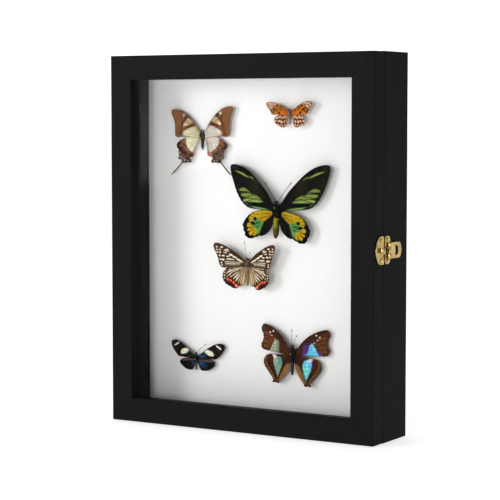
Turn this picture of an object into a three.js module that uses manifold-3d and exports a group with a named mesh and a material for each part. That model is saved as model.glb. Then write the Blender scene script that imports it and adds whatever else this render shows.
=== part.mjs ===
// A shadow-box display case with a glazed door hinged on its left side, a flip-over hasp on its
// right side, and six pinned butterflies in front of a white board.
// Millimetres, +Z up, the front faces -Y, and the origin is the middle of the case's underside.
import * as THREE from "three";
import { mergeVertices } from "three/addons/utils/BufferGeometryUtils.js";
import Module from "manifold-3d";

const wasm = await Module();
wasm.setup();

// Case
const CASE_WIDTH = 331;
const CASE_HEIGHT = 412;
const CASE_DEPTH = 79;
const DOOR_DEPTH = 22.6;
const SEAM = 0.4; // between the door's back and the case's front
const DOOR_CLEARANCE = 0.5; // at the door's top and bottom, so that it swings free of a table
const MITRE_GAP = 0.1; // on each side of a mitred corner
const FIT = 0.3; // between pieces that touch
const EDGE_RADIUS = 1.2;

// Door rails, with a groove that holds the glass
const RAIL_WIDTH = 27;
const LIP_DEPTH = 8.4;
const GROOVE_WIDTH = 3.1;
const GROOVE_DEPTH = 5;
const STOP_SETBACK = 2;
const GLASS_THICKNESS = 2.5;

// Case walls, rebated at the back for the back panel
const WALL = 14;
const REBATE = 5;
const BOARD_FRONT = 55; // from the door's front face to the face of the pinning board
const BOARD_THICKNESS = 12;
const PANEL_THICKNESS = 3;
const REBATE_START = BOARD_FRONT + BOARD_THICKNESS;

// Hinges on the left side
const HINGE_HEIGHT = 38;
const HINGE_PLACES = { upper: 330, lower: 82 };
const LEAF_WIDTH = 16;
const LEAF_THICKNESS = 1.2;
const BARREL_RADIUS = 2.4;
const BORE_RADIUS = 1.3;
const PIN_RADIUS = 1;
const AXIS_OFFSET = 2.8; // of the hinge's axis from the case's side
const LEAF_GAP = 0.2; // of a plate from the wood that it is screwed to

// Latch on the right side
const LATCH_HEIGHT_PLACE = 204.6;
const PLATE_THICKNESS = 1;
const HASP_THICKNESS = 1.2;
const HASP_AXIS_OUT = 3.4; // of the hasp's axis from the case's side
const HASP_AXIS_BACK = 7.5; // of the hasp's axis behind the seam
const HASP_DROP = 0.8; // the hasp hangs this much below the plates' middle
const HASP_BARREL = 1.9;
const HASP_PIN = 0.8;
const HASP_BORE = 1.1;

// Specimens
const WING_THICKNESS = 0.5;
const WING_STEP = 0.8; // the hindwing lies this far behind the forewing
const WING_ROOT_GAP = 0.3;
const OUTLINE_ERROR = 0.2;
const THORAX_SET_BACK = 0.4;
const THORAX_FLATNESS = 0.95;
const PIN = { radius: 0.35, hole: 0.7, head: 0.7, above: 1.5, below: 8 };

const FRONT = -CASE_DEPTH / 2;
const LEFT = -CASE_WIDTH / 2;
const RIGHT = CASE_WIDTH / 2;
const DOOR_BACK = FRONT + DOOR_DEPTH;
const CASE_FRONT = DOOR_BACK + SEAM;
const BOARD_Y = FRONT + BOARD_FRONT;

const blackWood = new THREE.MeshStandardMaterial({ color: 0x1e1e1e, roughness: 0.5 });
const clearGlass = new THREE.MeshStandardMaterial({
  color: 0xf4f8f8,
  roughness: 0.05,
  transparent: true,
  opacity: 0.15,
});
const whiteBoard = new THREE.MeshStandardMaterial({ color: 0xf2f1ef, roughness: 0.9 });
const hardboard = new THREE.MeshStandardMaterial({ color: 0x5a3f28, roughness: 0.8 });
const brass = new THREE.MeshStandardMaterial({ color: 0xc9a24a, roughness: 0.3, metalness: 1 });
const steel = new THREE.MeshStandardMaterial({ color: 0x8c8c8c, roughness: 0.35, metalness: 1 });

const point = (x, y, z) => new THREE.Vector3(x, y, z);

// A three.js geometry as a solid that can be joined and cut, and back again.
function solid(geometry) {
  const bare = geometry.clone();
  bare.deleteAttribute("normal");
  bare.deleteAttribute("uv");
  const merged = mergeVertices(bare, 1e-4);
  return new wasm.Manifold(
    new wasm.Mesh({
      numProp: 3,
      vertProperties: new Float32Array(merged.attributes.position.array),
      triVerts: new Uint32Array(merged.index.array),
    }),
  );
}

function geometryOf(made) {
  const mesh = made.getMesh();
  const geometry = new THREE.BufferGeometry();
  const positions = new Float32Array(mesh.vertProperties);
  geometry.setAttribute("position", new THREE.BufferAttribute(positions, 3));
  geometry.setIndex(new THREE.BufferAttribute(new Uint32Array(mesh.triVerts), 1));
  const flat = geometry.toNonIndexed();
  flat.computeVertexNormals();
  return flat;
}

const join = (pieces) => pieces.reduce((sum, piece) => sum.add(piece));

function box(width, depth, height, x, y, z) {
  return new THREE.BoxGeometry(width, depth, height).translate(x, y, z);
}

// A cylinder along Z.
function post(radius, height, x, y, z, sides = 12) {
  const geometry = new THREE.CylinderGeometry(radius, radius, height, sides);
  return geometry.rotateX(Math.PI / 2).translate(x, y, z);
}

// A cylinder along Y, for the specimens' pins and the holes that they stand in.
function rod(radius, from, to, sides) {
  const geometry = new THREE.CylinderGeometry(radius, radius, to - from, sides);
  return geometry.translate(0, (from + to) / 2, 0);
}

function named(name, geometry, material) {
  const mesh = new THREE.Mesh(geometry, material);
  mesh.name = name;
  return mesh;
}

const shapeOf = (points) => new THREE.Shape(points.map(([x, y]) => new THREE.Vector2(x, y)));

const extrude = (shape, depth, curveSegments = 8) =>
  new THREE.ExtrudeGeometry(shape, { depth, bevelEnabled: false, curveSegments });

// Door and case: four lengths of one profile, mitred at the corners

// The door rail's profile: x from its outer edge inwards, y from its front backwards.
function railProfile() {
  const r = EDGE_RADIUS;
  const shape = new THREE.Shape();
  shape.moveTo(0, DOOR_DEPTH);
  shape.lineTo(0, r);
  shape.absarc(r, r, r, Math.PI, 1.5 * Math.PI, false);
  shape.lineTo(RAIL_WIDTH - r, 0);
  shape.absarc(RAIL_WIDTH - r, r, r, 1.5 * Math.PI, 2 * Math.PI, false);
  shape.lineTo(RAIL_WIDTH, LIP_DEPTH);
  shape.lineTo(RAIL_WIDTH - GROOVE_DEPTH, LIP_DEPTH);
  shape.lineTo(RAIL_WIDTH - GROOVE_DEPTH, LIP_DEPTH + GROOVE_WIDTH);
  shape.lineTo(RAIL_WIDTH - STOP_SETBACK, LIP_DEPTH + GROOVE_WIDTH);
  shape.lineTo(RAIL_WIDTH - STOP_SETBACK, DOOR_DEPTH);
  return shape;
}

// The case wall's profile: x from its outer face inwards, y from its front edge backwards.
function wallProfile() {
  const depth = FRONT + CASE_DEPTH - CASE_FRONT;
  const shoulder = FRONT + REBATE_START - CASE_FRONT;
  const r = EDGE_RADIUS;
  const shape = new THREE.Shape();
  shape.moveTo(0, 0);
  shape.lineTo(WALL, 0);
  shape.lineTo(WALL, shoulder);
  shape.lineTo(WALL - REBATE, shoulder);
  shape.lineTo(WALL - REBATE, depth);
  shape.lineTo(r, depth);
  shape.absarc(r, depth - r, r, 0.5 * Math.PI, Math.PI, false);
  return shape;
}

// A profile drawn out along Z, with each end vertex moved along Z onto its mitre plane.
function mitredLength(profile, length) {
  const geometry = extrude(profile, length, 3);
  const at = geometry.attributes.position;
  for (let i = 0; i < at.count; i++) {
    const cut = at.getX(i) + MITRE_GAP;
    at.setZ(i, at.getZ(i) < length / 2 ? cut : length - cut);
  }
  geometry.computeVertexNormals();
  return geometry;
}

// Four mitred lengths round a rectangle that starts at bottom and is width by height.
function mitredFrame(name, profile, width, height, front, bottom) {
  const frame = new THREE.Group();
  const sides = [
    ["left", height, 0, -width / 2, bottom],
    ["right", height, Math.PI, width / 2, bottom + height],
    ["bottom", width, -Math.PI / 2, width / 2, bottom],
    ["top", width, Math.PI / 2, -width / 2, bottom + height],
  ];
  for (const [side, length, turn, x, z] of sides) {
    const mesh = named(`${name}_${side}`, mitredLength(profile, length), blackWood);
    mesh.position.set(x, front, z);
    mesh.rotation.y = turn;
    frame.add(mesh);
  }
  return frame;
}

function glassPane() {
  const edge = RAIL_WIDTH - GROOVE_DEPTH + FIT;
  const width = CASE_WIDTH - 2 * edge;
  const height = CASE_HEIGHT - 2 * (DOOR_CLEARANCE + edge);
  const y = FRONT + LIP_DEPTH + GROOVE_WIDTH / 2;
  return named("glass", box(width, GLASS_THICKNESS, height, 0, y, CASE_HEIGHT / 2), clearGlass);
}

function pinningBoard(pinPlaces) {
  const width = CASE_WIDTH - 2 * (WALL + FIT);
  const height = CASE_HEIGHT - 2 * (WALL + FIT);
  const y = BOARD_Y + BOARD_THICKNESS / 2;
  let board = solid(box(width, BOARD_THICKNESS, height, 0, y, CASE_HEIGHT / 2));
  for (const [x, z] of pinPlaces) {
    const hole = rod(PIN.hole, BOARD_Y - 1, BOARD_Y + PIN.below + FIT, 8).translate(x, 0, z);
    board = board.subtract(solid(hole));
  }
  return named("pinning_board", geometryOf(board), whiteBoard);
}

function backPanel() {
  const edge = WALL - REBATE + FIT;
  const width = CASE_WIDTH - 2 * edge;
  const height = CASE_HEIGHT - 2 * edge;
  const y = FRONT + REBATE_START + FIT + PANEL_THICKNESS / 2;
  return named("back_panel", box(width, PANEL_THICKNESS, height, 0, y, CASE_HEIGHT / 2), hardboard);
}

// A plate hanger with a toothed lower edge, nailed to the back of the top wall.
function sawtoothHanger(name, x) {
  const [width, height, thickness, teeth] = [44, 7, 1, 7];
  const outline = [
    [-width / 2, height],
    [-width / 2, 2],
  ];
  const pitch = (width - 14) / teeth;
  for (let i = 0; i < teeth; i++) {
    const start = -width / 2 + 7 + i * pitch;
    outline.push([start, 2], [start + pitch / 2, 0]);
  }
  outline.push([width / 2 - 7, 2], [width / 2, 2], [width / 2, height]);
  const plate = extrude(shapeOf(outline), thickness).rotateX(Math.PI / 2);
  const nails = [-1, 1].map((side) =>
    solid(rod(1.6, 0.4, 1.5, 8).translate(side * (width / 2 - 3.5), 0, 4.5)),
  );
  const made = join([solid(plate.translate(0, thickness, 0)), ...nails]);
  const mesh = named(name, geometryOf(made), steel);
  mesh.position.set(x, -FRONT + LEAF_GAP, CASE_HEIGHT - 10.5);
  return mesh;
}

// Hinges: each has a case leaf with two knuckles, a door leaf with one, and a pin

// Screw heads on a plate whose outer face is at x, facing along out.
function screwHeads(x, out, places, radius = 2.1) {
  const height = 0.8;
  return places.map(([y, z]) => {
    const head = new THREE.CylinderGeometry(radius * 0.6, radius, height, 8);
    head.rotateZ(out > 0 ? -Math.PI / 2 : Math.PI / 2);
    return solid(head.translate(x + out * (height / 2 - 0.05), y, z));
  });
}

// A leaf in the hinge's own frame: the axis is Z, and the case's side is at +x.
function hingeLeaf(toBack, knuckles) {
  const inner = AXIS_OFFSET - LEAF_GAP - LEAF_THICKNESS;
  const near = BARREL_RADIUS + FIT;
  const middle = inner + LEAF_THICKNESS / 2;
  const y = toBack * (near + LEAF_WIDTH / 2);
  const pieces = [solid(box(LEAF_THICKNESS, LEAF_WIDTH, HINGE_HEIGHT, middle, y, 0))];
  for (const [from, to] of knuckles) {
    const [z, height] = [(from + to) / 2, to - from];
    pieces.push(solid(box(LEAF_THICKNESS, near + 1, height, middle, (toBack * (near + 1)) / 2, z)));
    pieces.push(solid(post(BARREL_RADIUS, height, 0, 0, z)));
  }
  const places = [-1, 0, 1].map((row) => [y + toBack * (row === 0 ? 4 : -1), row * 12]);
  pieces.push(...screwHeads(inner, -1, places));
  return join(pieces).subtract(solid(post(BORE_RADIUS, HINGE_HEIGHT + 2, 0, 0, 0, 8)));
}

function hinge(place, z) {
  const third = HINGE_HEIGHT / 6;
  const outer = [
    [-HINGE_HEIGHT / 2, -third - FIT],
    [third + FIT, HINGE_HEIGHT / 2],
  ];
  const cap = PIN_RADIUS + 0.9;
  const ends = [-1, 1].map((side) => {
    const ball = new THREE.SphereGeometry(cap, 8, 6).rotateX(Math.PI / 2);
    return solid(ball.translate(0, 0, side * (HINGE_HEIGHT / 2 + FIT + cap * 0.8)));
  });
  const pin = join([solid(post(PIN_RADIUS, HINGE_HEIGHT + 2, 0, 0, 0)), ...ends]);
  const group = new THREE.Group();
  group.position.set(LEFT - AXIS_OFFSET, DOOR_BACK + SEAM / 2, z);
  group.add(named(`hinge_${place}_case_leaf`, geometryOf(hingeLeaf(1, outer)), brass));
  group.add(named(`hinge_${place}_door_leaf`, geometryOf(hingeLeaf(-1, [[-third, third]])), brass));
  group.add(named(`hinge_${place}_pin`, geometryOf(pin), brass));
  return group;
}

// Latch: in its own frame x points out of the case's right side and y backwards from the seam

// A plate outline drawn in y and z and given its thickness along x.
function sidePlate(shape, thickness, x) {
  const turn = new THREE.Matrix4().makeBasis(point(0, 1, 0), point(0, 0, 1), point(1, 0, 0));
  return extrude(shape, thickness, 5).applyMatrix4(turn).translate(x, 0, 0);
}

// The door's plate: a straight edge at the seam and a bowed outer edge.
function catchPlateShape() {
  const [near, corner, far, half] = [-1.2, -9, -19.4, 14.8];
  const shape = new THREE.Shape();
  shape.moveTo(near, -half);
  shape.lineTo(near, half);
  shape.lineTo(corner, half);
  shape.bezierCurveTo(-14.5, half, far, 7, far, 0);
  shape.bezierCurveTo(far, -7, -14.5, -half, corner, -half);
  return shape;
}

// The case's plate: a straight edge at the seam and rounded far corners.
function latchPlateShape() {
  const [near, far, half, r] = [1.2, 13.4, 14.8, 5];
  const shape = new THREE.Shape();
  shape.moveTo(near, -half + 2.5);
  shape.lineTo(near + 2.5, -half);
  shape.lineTo(far - r, -half);
  shape.absarc(far - r, -half + r, r, 1.5 * Math.PI, 2 * Math.PI, false);
  shape.lineTo(far, half - r);
  shape.absarc(far - r, half - r, r, 0, 0.5 * Math.PI, false);
  shape.lineTo(near + 2.5, half);
  shape.lineTo(near, half - 2.5);
  return shape;
}

// A hook that rises from the catch plate and curls towards the front.
function hookSolid() {
  const [top, tip, heel, width] = [6.2, -10.2, -5.9, 5.6];
  const outline = [
    [0.8, heel],
    [top - 1.4, heel],
    [top - 0.4, heel - 0.7],
    [top, heel - 2],
    [top - 0.4, tip + 0.6],
    [top - 1.6, tip],
    [3.9, tip + 0.2],
    [3.8, tip + 1],
    [4.5, tip + 1.3],
    [4.6, heel - 2.2],
    [4.1, heel - 1.7],
    [0.8, heel - 1.7],
  ];
  return solid(extrude(shapeOf(outline), width).translate(0, 0, -width / 2));
}

function catchPlate() {
  const plate = solid(sidePlate(catchPlateShape(), PLATE_THICKNESS, LEAF_GAP));
  const places = [-1, 1].map((side) => [-7, side * 11]);
  const heads = screwHeads(LEAF_GAP + PLATE_THICKNESS, 1, places, 1.9);
  return join([plate, hookSolid(), ...heads]);
}

// The plate's knuckle is a tongue cut out of the plate, which leaves a window in front of it.
function latchPlate() {
  const outer = LEAF_GAP + PLATE_THICKNESS;
  const [x, y, half] = [HASP_AXIS_OUT, HASP_AXIS_BACK, 3.2];
  const window = solid(box(4, 3.6, 2 * half + 0.6, outer, y - 3.2, 0));
  const plate = solid(sidePlate(latchPlateShape(), PLATE_THICKNESS, LEAF_GAP)).subtract(window);
  const knuckle = solid(post(HASP_BARREL, 2 * half, x, y, 0));
  const foot = solid(box(x - LEAF_GAP, 2.4, 2 * half, (x + LEAF_GAP) / 2, y, 0));
  const places = [-1, 1].map((side) => [y - 0.6, side * 11.4]);
  const heads = screwHeads(outer, 1, places, 1.9);
  const bore = solid(post(HASP_BORE, 2 * half + 2, x, y, 0, 8));
  return join([plate, foot, knuckle, ...heads]).subtract(bore);
}

// The hasp's outline, with a bowed free end and a D-shaped slot that drops over the hook.
function haspShape() {
  const [start, shoulder, end, half] = [HASP_AXIS_BACK, 28.6, 34.4, 8.4];
  const shape = new THREE.Shape();
  shape.moveTo(start, -half);
  shape.lineTo(shoulder, -half);
  shape.bezierCurveTo(31.5, -half, end, -4.5, end, 0);
  shape.bezierCurveTo(end, 4.5, 31.5, half, shoulder, half);
  shape.lineTo(start, half);
  const slot = new THREE.Path();
  const [inner, outer, tall] = [19.4, 26.8, 5.2];
  slot.moveTo(inner, -tall);
  slot.quadraticCurveTo(inner + 2, 0, inner, tall);
  slot.lineTo(inner + 3, tall);
  slot.bezierCurveTo(outer - 1.2, tall, outer, 3.2, outer, 0);
  slot.bezierCurveTo(outer, -3.2, outer - 1.2, -tall, inner + 3, -tall);
  shape.holes.push(slot);
  return shape;
}

function hasp() {
  const [x, y, inner, outer] = [HASP_AXIS_OUT, HASP_AXIS_BACK, 3.5, 8.4];
  const outline = sidePlate(haspShape(), HASP_THICKNESS, x - HASP_THICKNESS / 2);
  const plate = solid(outline.translate(0, 0, -HASP_DROP));
  const window = solid(box(8, 2 * (HASP_BARREL + FIT), 2 * inner, x, y, 0));
  const body = plate.subtract(window);
  const knuckles = [-1, 1].map((side) => {
    const far = side * outer - HASP_DROP;
    const height = Math.abs(far) - inner;
    return solid(post(HASP_BARREL, height, x, y, (side * inner + far) / 2));
  });
  return join([body, ...knuckles]).subtract(solid(post(HASP_BORE, 2 * outer + 4, x, y, 0, 8)));
}

function latch() {
  const group = new THREE.Group();
  group.position.set(RIGHT, DOOR_BACK + SEAM / 2, LATCH_HEIGHT_PLACE);
  const pin = post(HASP_PIN, 17.4, HASP_AXIS_OUT, HASP_AXIS_BACK, -HASP_DROP, 8);
  group.add(named("catch_plate", geometryOf(catchPlate()), brass));
  group.add(named("latch_plate", geometryOf(latchPlate()), brass));
  group.add(named("hasp", geometryOf(hasp()), brass));
  group.add(named("latch_pin", pin, brass));
  return group;
}

// Butterflies
// Outlines are in millimetres from the specimen's pin: the first number outwards along the wing,
// the second up. Each is drawn for one side and turned over for the other.

// place: across, back from the door's front face, and up. droop: degrees that the left and right
// wings are raised towards the glass. fit: each wing's turn in degrees, its stretch outwards and,
// where it has one, its stretch upwards. A specimen spread unevenly has a rightHind of its own.
// legRows: where the pairs of walking legs leave the thorax, of which brush-footed kinds have two.
const SPECIES = [
  {
    name: "swallowtail",
    place: [-75.6, 50, 320],
    legRows: [-1, 0, 1],
    roll: 0,
    raised: [1.7, 1.7],
    colors: { fore: 0x8a5a30, hind: 0xcfc6a8, body: 0x2a221c },
    fit: { fore: [[0, 1], [1.2, 1.025, 1.08]], hind: [[0, 1], [0, 1]] },
    fore: [
      [1, 4], [5, 9], [8.5, 14.5], [12, 18.5], [16, 22.5], [20, 25.8], [25, 29], [30, 31],
      [35, 32], [38.5, 32], [40.6, 30.2], [40, 26], [38, 22], [36.6, 18], [36, 14], [36, 9],
      [36.2, 5], [35, 2], [33, 0.8], [30, 0.6], [27, 1.2], [20, 1], [10, 0], [1, -1],
    ],
    hind: [
      [1, 2], [10, 2.5], [17, 1.8], [21, 0.9], [25, -0.8], [29.5, -2.8], [33.6, -6],
      [34.6, -9.6], [33.6, -11.8], [32, -13.6], [32.4, -16.2], [31.4, -18.6], [32, -20.8],
      [32.8, -22.8], [31.2, -24.2], [28, -24.8], [27.8, -26.8], [30.6, -30.4], [34.8, -34.8],
      [38.6, -38.2], [41.6, -41.2], [41.4, -42.4], [39.4, -41], [35.4, -37.7], [31, -33.2],
      [27.4, -29.2], [25.6, -28], [22, -28.6], [19.6, -27.6], [17.2, -28], [15, -27],
      [14.8, -25], [16.2, -23.4], [15.4, -22], [12.8, -20.8], [11.6, -19.2], [12, -16.4],
      [10, -12], [7.6, -8], [5.4, -4.4], [1, -2],
    ],
    rightHind: [
      [1, 2], [10, 2.4], [17.9, 1.5], [22.4, -0.6], [26.8, -3], [31.4, -6.4], [33.4, -9],
      [32.4, -11.6], [30, -14], [29, -16.4], [27.8, -18.6], [28.6, -21], [27.8, -23.2],
      [25.2, -24], [24.4, -25.4], [25.6, -27.6], [28.6, -30.8], [32.2, -34.6], [35.6, -38],
      [38.8, -41], [38.4, -42], [36.4, -40.8], [33, -37.8], [29, -33.4], [25.4, -29.6],
      [23, -27.6], [19.8, -28.2], [17, -27.2], [14.4, -27.9], [12, -27.4], [11.4, -25.4],
      [13.2, -23.6], [13, -21.8], [10.6, -20.6], [7.2, -20.2], [6.2, -18], [6, -14.6],
      [5.8, -9], [4.6, -4], [1, -2],
    ],
    head: [0, 7.2, 1.9],
    thorax: [0, 2, 3.5, 5.2],
    abdomen: [0, -1, -13.6, 1.9],
    antennae: [],
  },
  {
    name: "fritillary",
    place: [38.8, 47.5, 347],
    legRows: [-1, 0.4],
    roll: 0,
    raised: [3.3, 3.3],
    colors: { fore: 0xc07830, hind: 0x9a6a48, body: 0x6a5a50 },
    fit: { fore: [[-2, 1], [0, 1]], hind: [[0, 1.02], [0, 0.98]] },
    fore: [
      [0.5, 1.5], [4, 4.4], [8, 7.2], [12, 9.8], [16, 11.8], [20, 13.2], [24, 13.8], [27, 13.4],
      [28.7, 11.8], [28.2, 9.6], [26.2, 6.6], [24.2, 3.6], [22.6, 1], [21.2, -0.4], [16, -0.7],
      [10, -1], [5, -1], [0.5, -0.8],
    ],
    hind: [
      [0.5, -0.2], [6, -0.4], [11, -0.4], [15, -1.6], [18, -3.8], [19.5, -6.5], [19.2, -8.8],
      [17.6, -11], [15, -12.9], [12, -14.4], [9.5, -15.1], [7, -15], [5.3, -13.6], [4, -10],
      [2.8, -6], [0.5, -3],
    ],
    head: [-0.2, 4.6, 1.3],
    thorax: [0, 0.6, 2, 3.6],
    abdomen: [0, -2, -11.6, 1.3],
    antennae: [[-10.2, 11.6], [9.6, 11.6]],
  },
  {
    name: "birdwing",
    place: [26.9, 40, 244.7],
    legRows: [-1, 0, 1],
    roll: 0,
    raised: [-6.6, -6.6],
    colors: { fore: 0x10120c, hind: 0xa89210, body: 0x0c0c0a },
    fit: { fore: [[0, 1.01], [0.5, 0.99]], hind: [[0, 1], [-8, 0.88, 0.97]] },
    fore: [
      [1, 2], [5.2, 5], [10, 12], [15, 18.4], [20, 23.6], [25, 28.6], [30, 33.4], [36, 38.2],
      [42, 42], [48, 44.7], [54, 46.2], [59, 46.7], [62.6, 45.8], [64, 43.4], [63.8, 40],
      [62.6, 35], [60.8, 30], [59, 25], [57, 20], [55, 15.4], [52, 10.4], [48.4, 5.6],
      [44, 1.6], [40, -0.8], [35, -2], [29, -2.6], [22, -3], [15, -3.4], [9, -4], [1, -5],
    ],
    hind: [
      [1, -2], [12, -2.6], [20, -3], [27, -4], [33, -5.6], [38, -8.2], [42, -11.6],
      [45.4, -15.6], [47.7, -19], [48.2, -21.6], [47.2, -24.2], [47, -26.6], [45.4, -28.7],
      [45, -31.6], [43, -33.8], [40.4, -34.8], [37, -35.6], [33.6, -34.9], [30.4, -34],
      [28, -33], [25, -32.2], [22, -31.9], [18, -31], [14, -28.6], [10.5, -25.8],
      [7.8, -22.4], [6, -18.4], [5, -14], [4, -9], [1, -6],
    ],
    head: [0, 4.8, 2.6],
    thorax: [0, -4.2, 4.8, 8.4],
    abdomen: [-0.5, -10, -34, 3.8, -3],
    antennae: [[-13.8, 28], [19.4, 28]],
  },
  {
    name: "ringskirt",
    place: [-14.7, 47, 181],
    legRows: [-1, 0.4],
    roll: 0,
    raised: [10, 10],
    colors: { fore: 0x5a3c28, hind: 0xa88c70, body: 0x6a5844 },
    fit: { fore: [[0, 1], [0, 0.985]], hind: [[2, 1.02], [0, 1.07]] },
    fore: [
      [0.5, 2], [5, 5.4], [10, 9.6], [15, 13], [20, 16], [25, 18.8], [30, 21], [34, 22.3],
      [37.6, 22.7], [40.4, 21.4], [41, 18.6], [39.8, 15], [38, 11.4], [36.4, 8], [35.2, 4.5],
      [34.6, 1], [33.4, -2], [31.4, -4.4], [29, -5.1], [24, -4.9], [18, -4.4], [12, -4],
      [6, -3.4], [0.5, -3],
    ],
    hind: [
      [0.5, -1], [10, -1.6], [17, -2.8], [23, -5], [26.6, -8], [28.6, -11.5], [29.4, -15],
      [28.8, -18.5], [27.4, -21.4], [25.6, -23.4], [23.4, -25.2], [20.4, -26.4], [17.6, -28],
      [14.4, -28.8], [11.6, -28.2], [9.8, -26.4], [8, -25.2], [6, -25.2], [4, -24.6],
      [2.6, -22], [2.1, -16], [1.8, -10], [0.5, -5],
    ],
    head: [0, 4.9, 1.8],
    thorax: [0, 0, 2.6, 4.6],
    abdomen: [0, -3, -25, 1.9],
    antennae: [[-2.8, 25], [4.6, 13]],
  },
  {
    name: "longwing",
    place: [-82.8, 47.5, 69.8],
    legRows: [-1, 0.4],
    roll: 0,
    raised: [-5.2, -5.2],
    colors: { fore: 0x14100f, hind: 0x101014, body: 0x141210 },
    fit: { fore: [[1.5, 1], [0, 1]], hind: [[0, 1], [0, 0.97]] },
    fore: [
      [0.5, 2], [5, 5.8], [9, 8.8], [13, 11.8], [18, 14.8], [23, 17.4], [28, 18.8], [32, 19],
      [35, 17.8], [36.2, 15.2], [35.4, 12], [33, 8.4], [30, 5], [27, 2.2], [24.4, 0.8],
      [19, 0.7], [12, 0.4], [6, 0], [0.5, -0.4],
    ],
    hind: [
      [0.5, 0.4], [8, 0.4], [14, 0.2], [19, -0.6], [22.6, -2.4], [24.2, -4.6], [23, -7],
      [20, -9.5], [16.4, -11.8], [12, -12.9], [8, -13], [5.6, -12], [4, -9.6], [2.8, -7],
      [0.5, -4],
    ],
    head: [0, 6.6, 1.3],
    thorax: [0, 1.8, 1.9, 3.8],
    abdomen: [0.4, -1, -12.6, 1],
    antennae: [[-0.6, 11.4], [14.6, 18.2]],
  },
  {
    name: "emperor",
    place: [44, 45, 84.8],
    legRows: [-1, 0.4],
    roll: -1.4,
    raised: [-7, -7],
    colors: { fore: 0x46281a, hind: 0x5a8c8c, body: 0x1a1310 },
    fit: { fore: [[0, 1], [-1, 1]], hind: [[0, 1], [-2, 0.86]] },
    fore: [
      [1, 4], [6, 7], [9, 11.4], [12.5, 15.5], [16.5, 19.4], [21, 22.7], [26, 25.4], [31, 27.6],
      [36, 29.2], [39.8, 29.6], [42, 27.8], [43.6, 24.4], [43.4, 22], [41.6, 19.4],
      [40.6, 16], [40.8, 12.6], [41.7, 9.6], [43.6, 6.6], [43.2, 3.4], [41.4, 1.2],
      [38.5, 0.3], [33, -0.2], [26, -0.7], [18, -1.2], [10, -1.8], [1, -2.6],
    ],
    hind: [
      [1, -1.2], [12, -1.8], [20, -2.4], [27, -2.8], [32, -3.5], [36, -5], [38.8, -8],
      [40.2, -11.5], [40, -14.5], [38.5, -17.4], [36.2, -20.3], [33.6, -23.2], [31, -25.8],
      [29, -28], [27.4, -30.2], [26.6, -32.2], [27.8, -34.2], [25.8, -34.8], [22, -34.6],
      [19, -35.1], [17.4, -33.2], [15.8, -31], [13, -28], [9.8, -24.4], [7, -20.4],
      [5, -16.4], [4.2, -12], [1, -7],
    ],
    head: [0, 8.4, 2.2],
    thorax: [0, -1.6, 3.7, 9],
    abdomen: [0, -8, -24, 2.1],
    antennae: [[-0.4, 27], [6.2, 21]],
  },
];

// The outline without every second point that lies almost on the line between its neighbours.
function thinned(spots) {
  return spots.filter((spot, i) => {
    const next = spots[(i + 1) % spots.length];
    const line = new THREE.Line3(spots[(i + spots.length - 1) % spots.length], next);
    const nearest = line.closestPointToPoint(spot, true, point(0, 0, 0));
    return i % 2 === 0 || nearest.distanceTo(spot) > OUTLINE_ERROR;
  });
}

// A closed smooth curve through the points, turned about the wing's root and stretched outwards.
function wingOutline(points, [turn, stretch, rise = 1], side) {
  const angle = THREE.MathUtils.degToRad(turn);
  const [c, s] = [Math.cos(angle), Math.sin(angle)];
  const placed = points.map(([u, v]) => {
    const [a, b] = [c * u - s * v, s * u + c * v];
    return point(side * stretch * a, rise * b, 0);
  });
  const curve = new THREE.CatmullRomCurve3(placed, true, "centripetal");
  const spots = curve.getPoints(2 * placed.length).slice(0, -1);
  return new THREE.Shape(thinned(spots).map((p) => new THREE.Vector2(p.x, p.y)));
}

// A wing as a thin plate: drawn upright, moved to its layer, then raised about the body.
function wingSolid(outline, raised, side, layer) {
  const plate = extrude(outline, WING_THICKNESS).rotateX(Math.PI / 2);
  plate.translate(0, layer + WING_THICKNESS / 2, 0);
  plate.rotateZ(-side * THREE.MathUtils.degToRad(raised));
  return solid(plate);
}

function ellipsoid(x, y, z, radii, around = 8, along = 6) {
  const ball = new THREE.SphereGeometry(1, around, along).rotateX(Math.PI / 2);
  return ball.scale(...radii).translate(x, y, z);
}

// A tube through a few points, with a section of three sides.
function tube(points, radius, steps) {
  const section = shapeOf(
    [0, 1, 2].map((corner) => {
      const angle = (corner / 3) * 2 * Math.PI;
      return [radius * Math.cos(angle), radius * Math.sin(angle)];
    }),
  );
  const path = new THREE.CatmullRomCurve3(points);
  return new THREE.ExtrudeGeometry(section, { steps, bevelEnabled: false, extrudePath: path });
}

// An abdomen: a tapered, blunt-ended body of revolution that hangs from the thorax.
function abdomenGeometry([across, top, bottom, radius, lean = 0]) {
  const length = top - bottom;
  const profile = [
    [0, 0],
    [0.7, 0.08],
    [1, 0.5],
    [0.85, 0.82],
    [0.5, 0.96],
    [0, 1],
  ].map(([r, t]) => new THREE.Vector2(r * radius, -t * length));
  const body = new THREE.LatheGeometry(profile.reverse(), 8).rotateX(Math.PI / 2);
  body.rotateY(-THREE.MathUtils.degToRad(lean));
  return body.translate(across, 0.4, top);
}

function antenna(species, [u, v]) {
  const [x, z, radius] = species.head;
  const start = point(x + Math.sign(u) * radius * 0.4, -0.4, z + radius * 0.5);
  const end = point(u, -2.4, v);
  const bend = start.clone().lerp(end, 0.5).add(point(-Math.sign(u) * 0.4, -0.6, 0));
  const club = start.clone().lerp(end, 0.88);
  return [
    solid(tube([start, bend, club.clone().lerp(end, 0.1)], 0.25, 3)),
    solid(tube([club, end], 0.45, 1)),
  ];
}

// Legs folded under the thorax: out, forwards, and back towards the body.
function legs([x, z, across, along], rows) {
  const made = [];
  for (const side of [-1, 1]) {
    for (const row of rows) {
      const hip = point(x + side * across * 0.3, across * 0.6, z + row * along * 0.3);
      const knee = point(x + side * across * 0.9, across * 1.02, hip.z + along * 0.34);
      const foot = point(x + side * across * 0.4, across * 1.1, hip.z - along * 0.2);
      made.push(solid(tube([hip, knee, foot], 0.3, 2)));
    }
  }
  return made;
}

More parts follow.
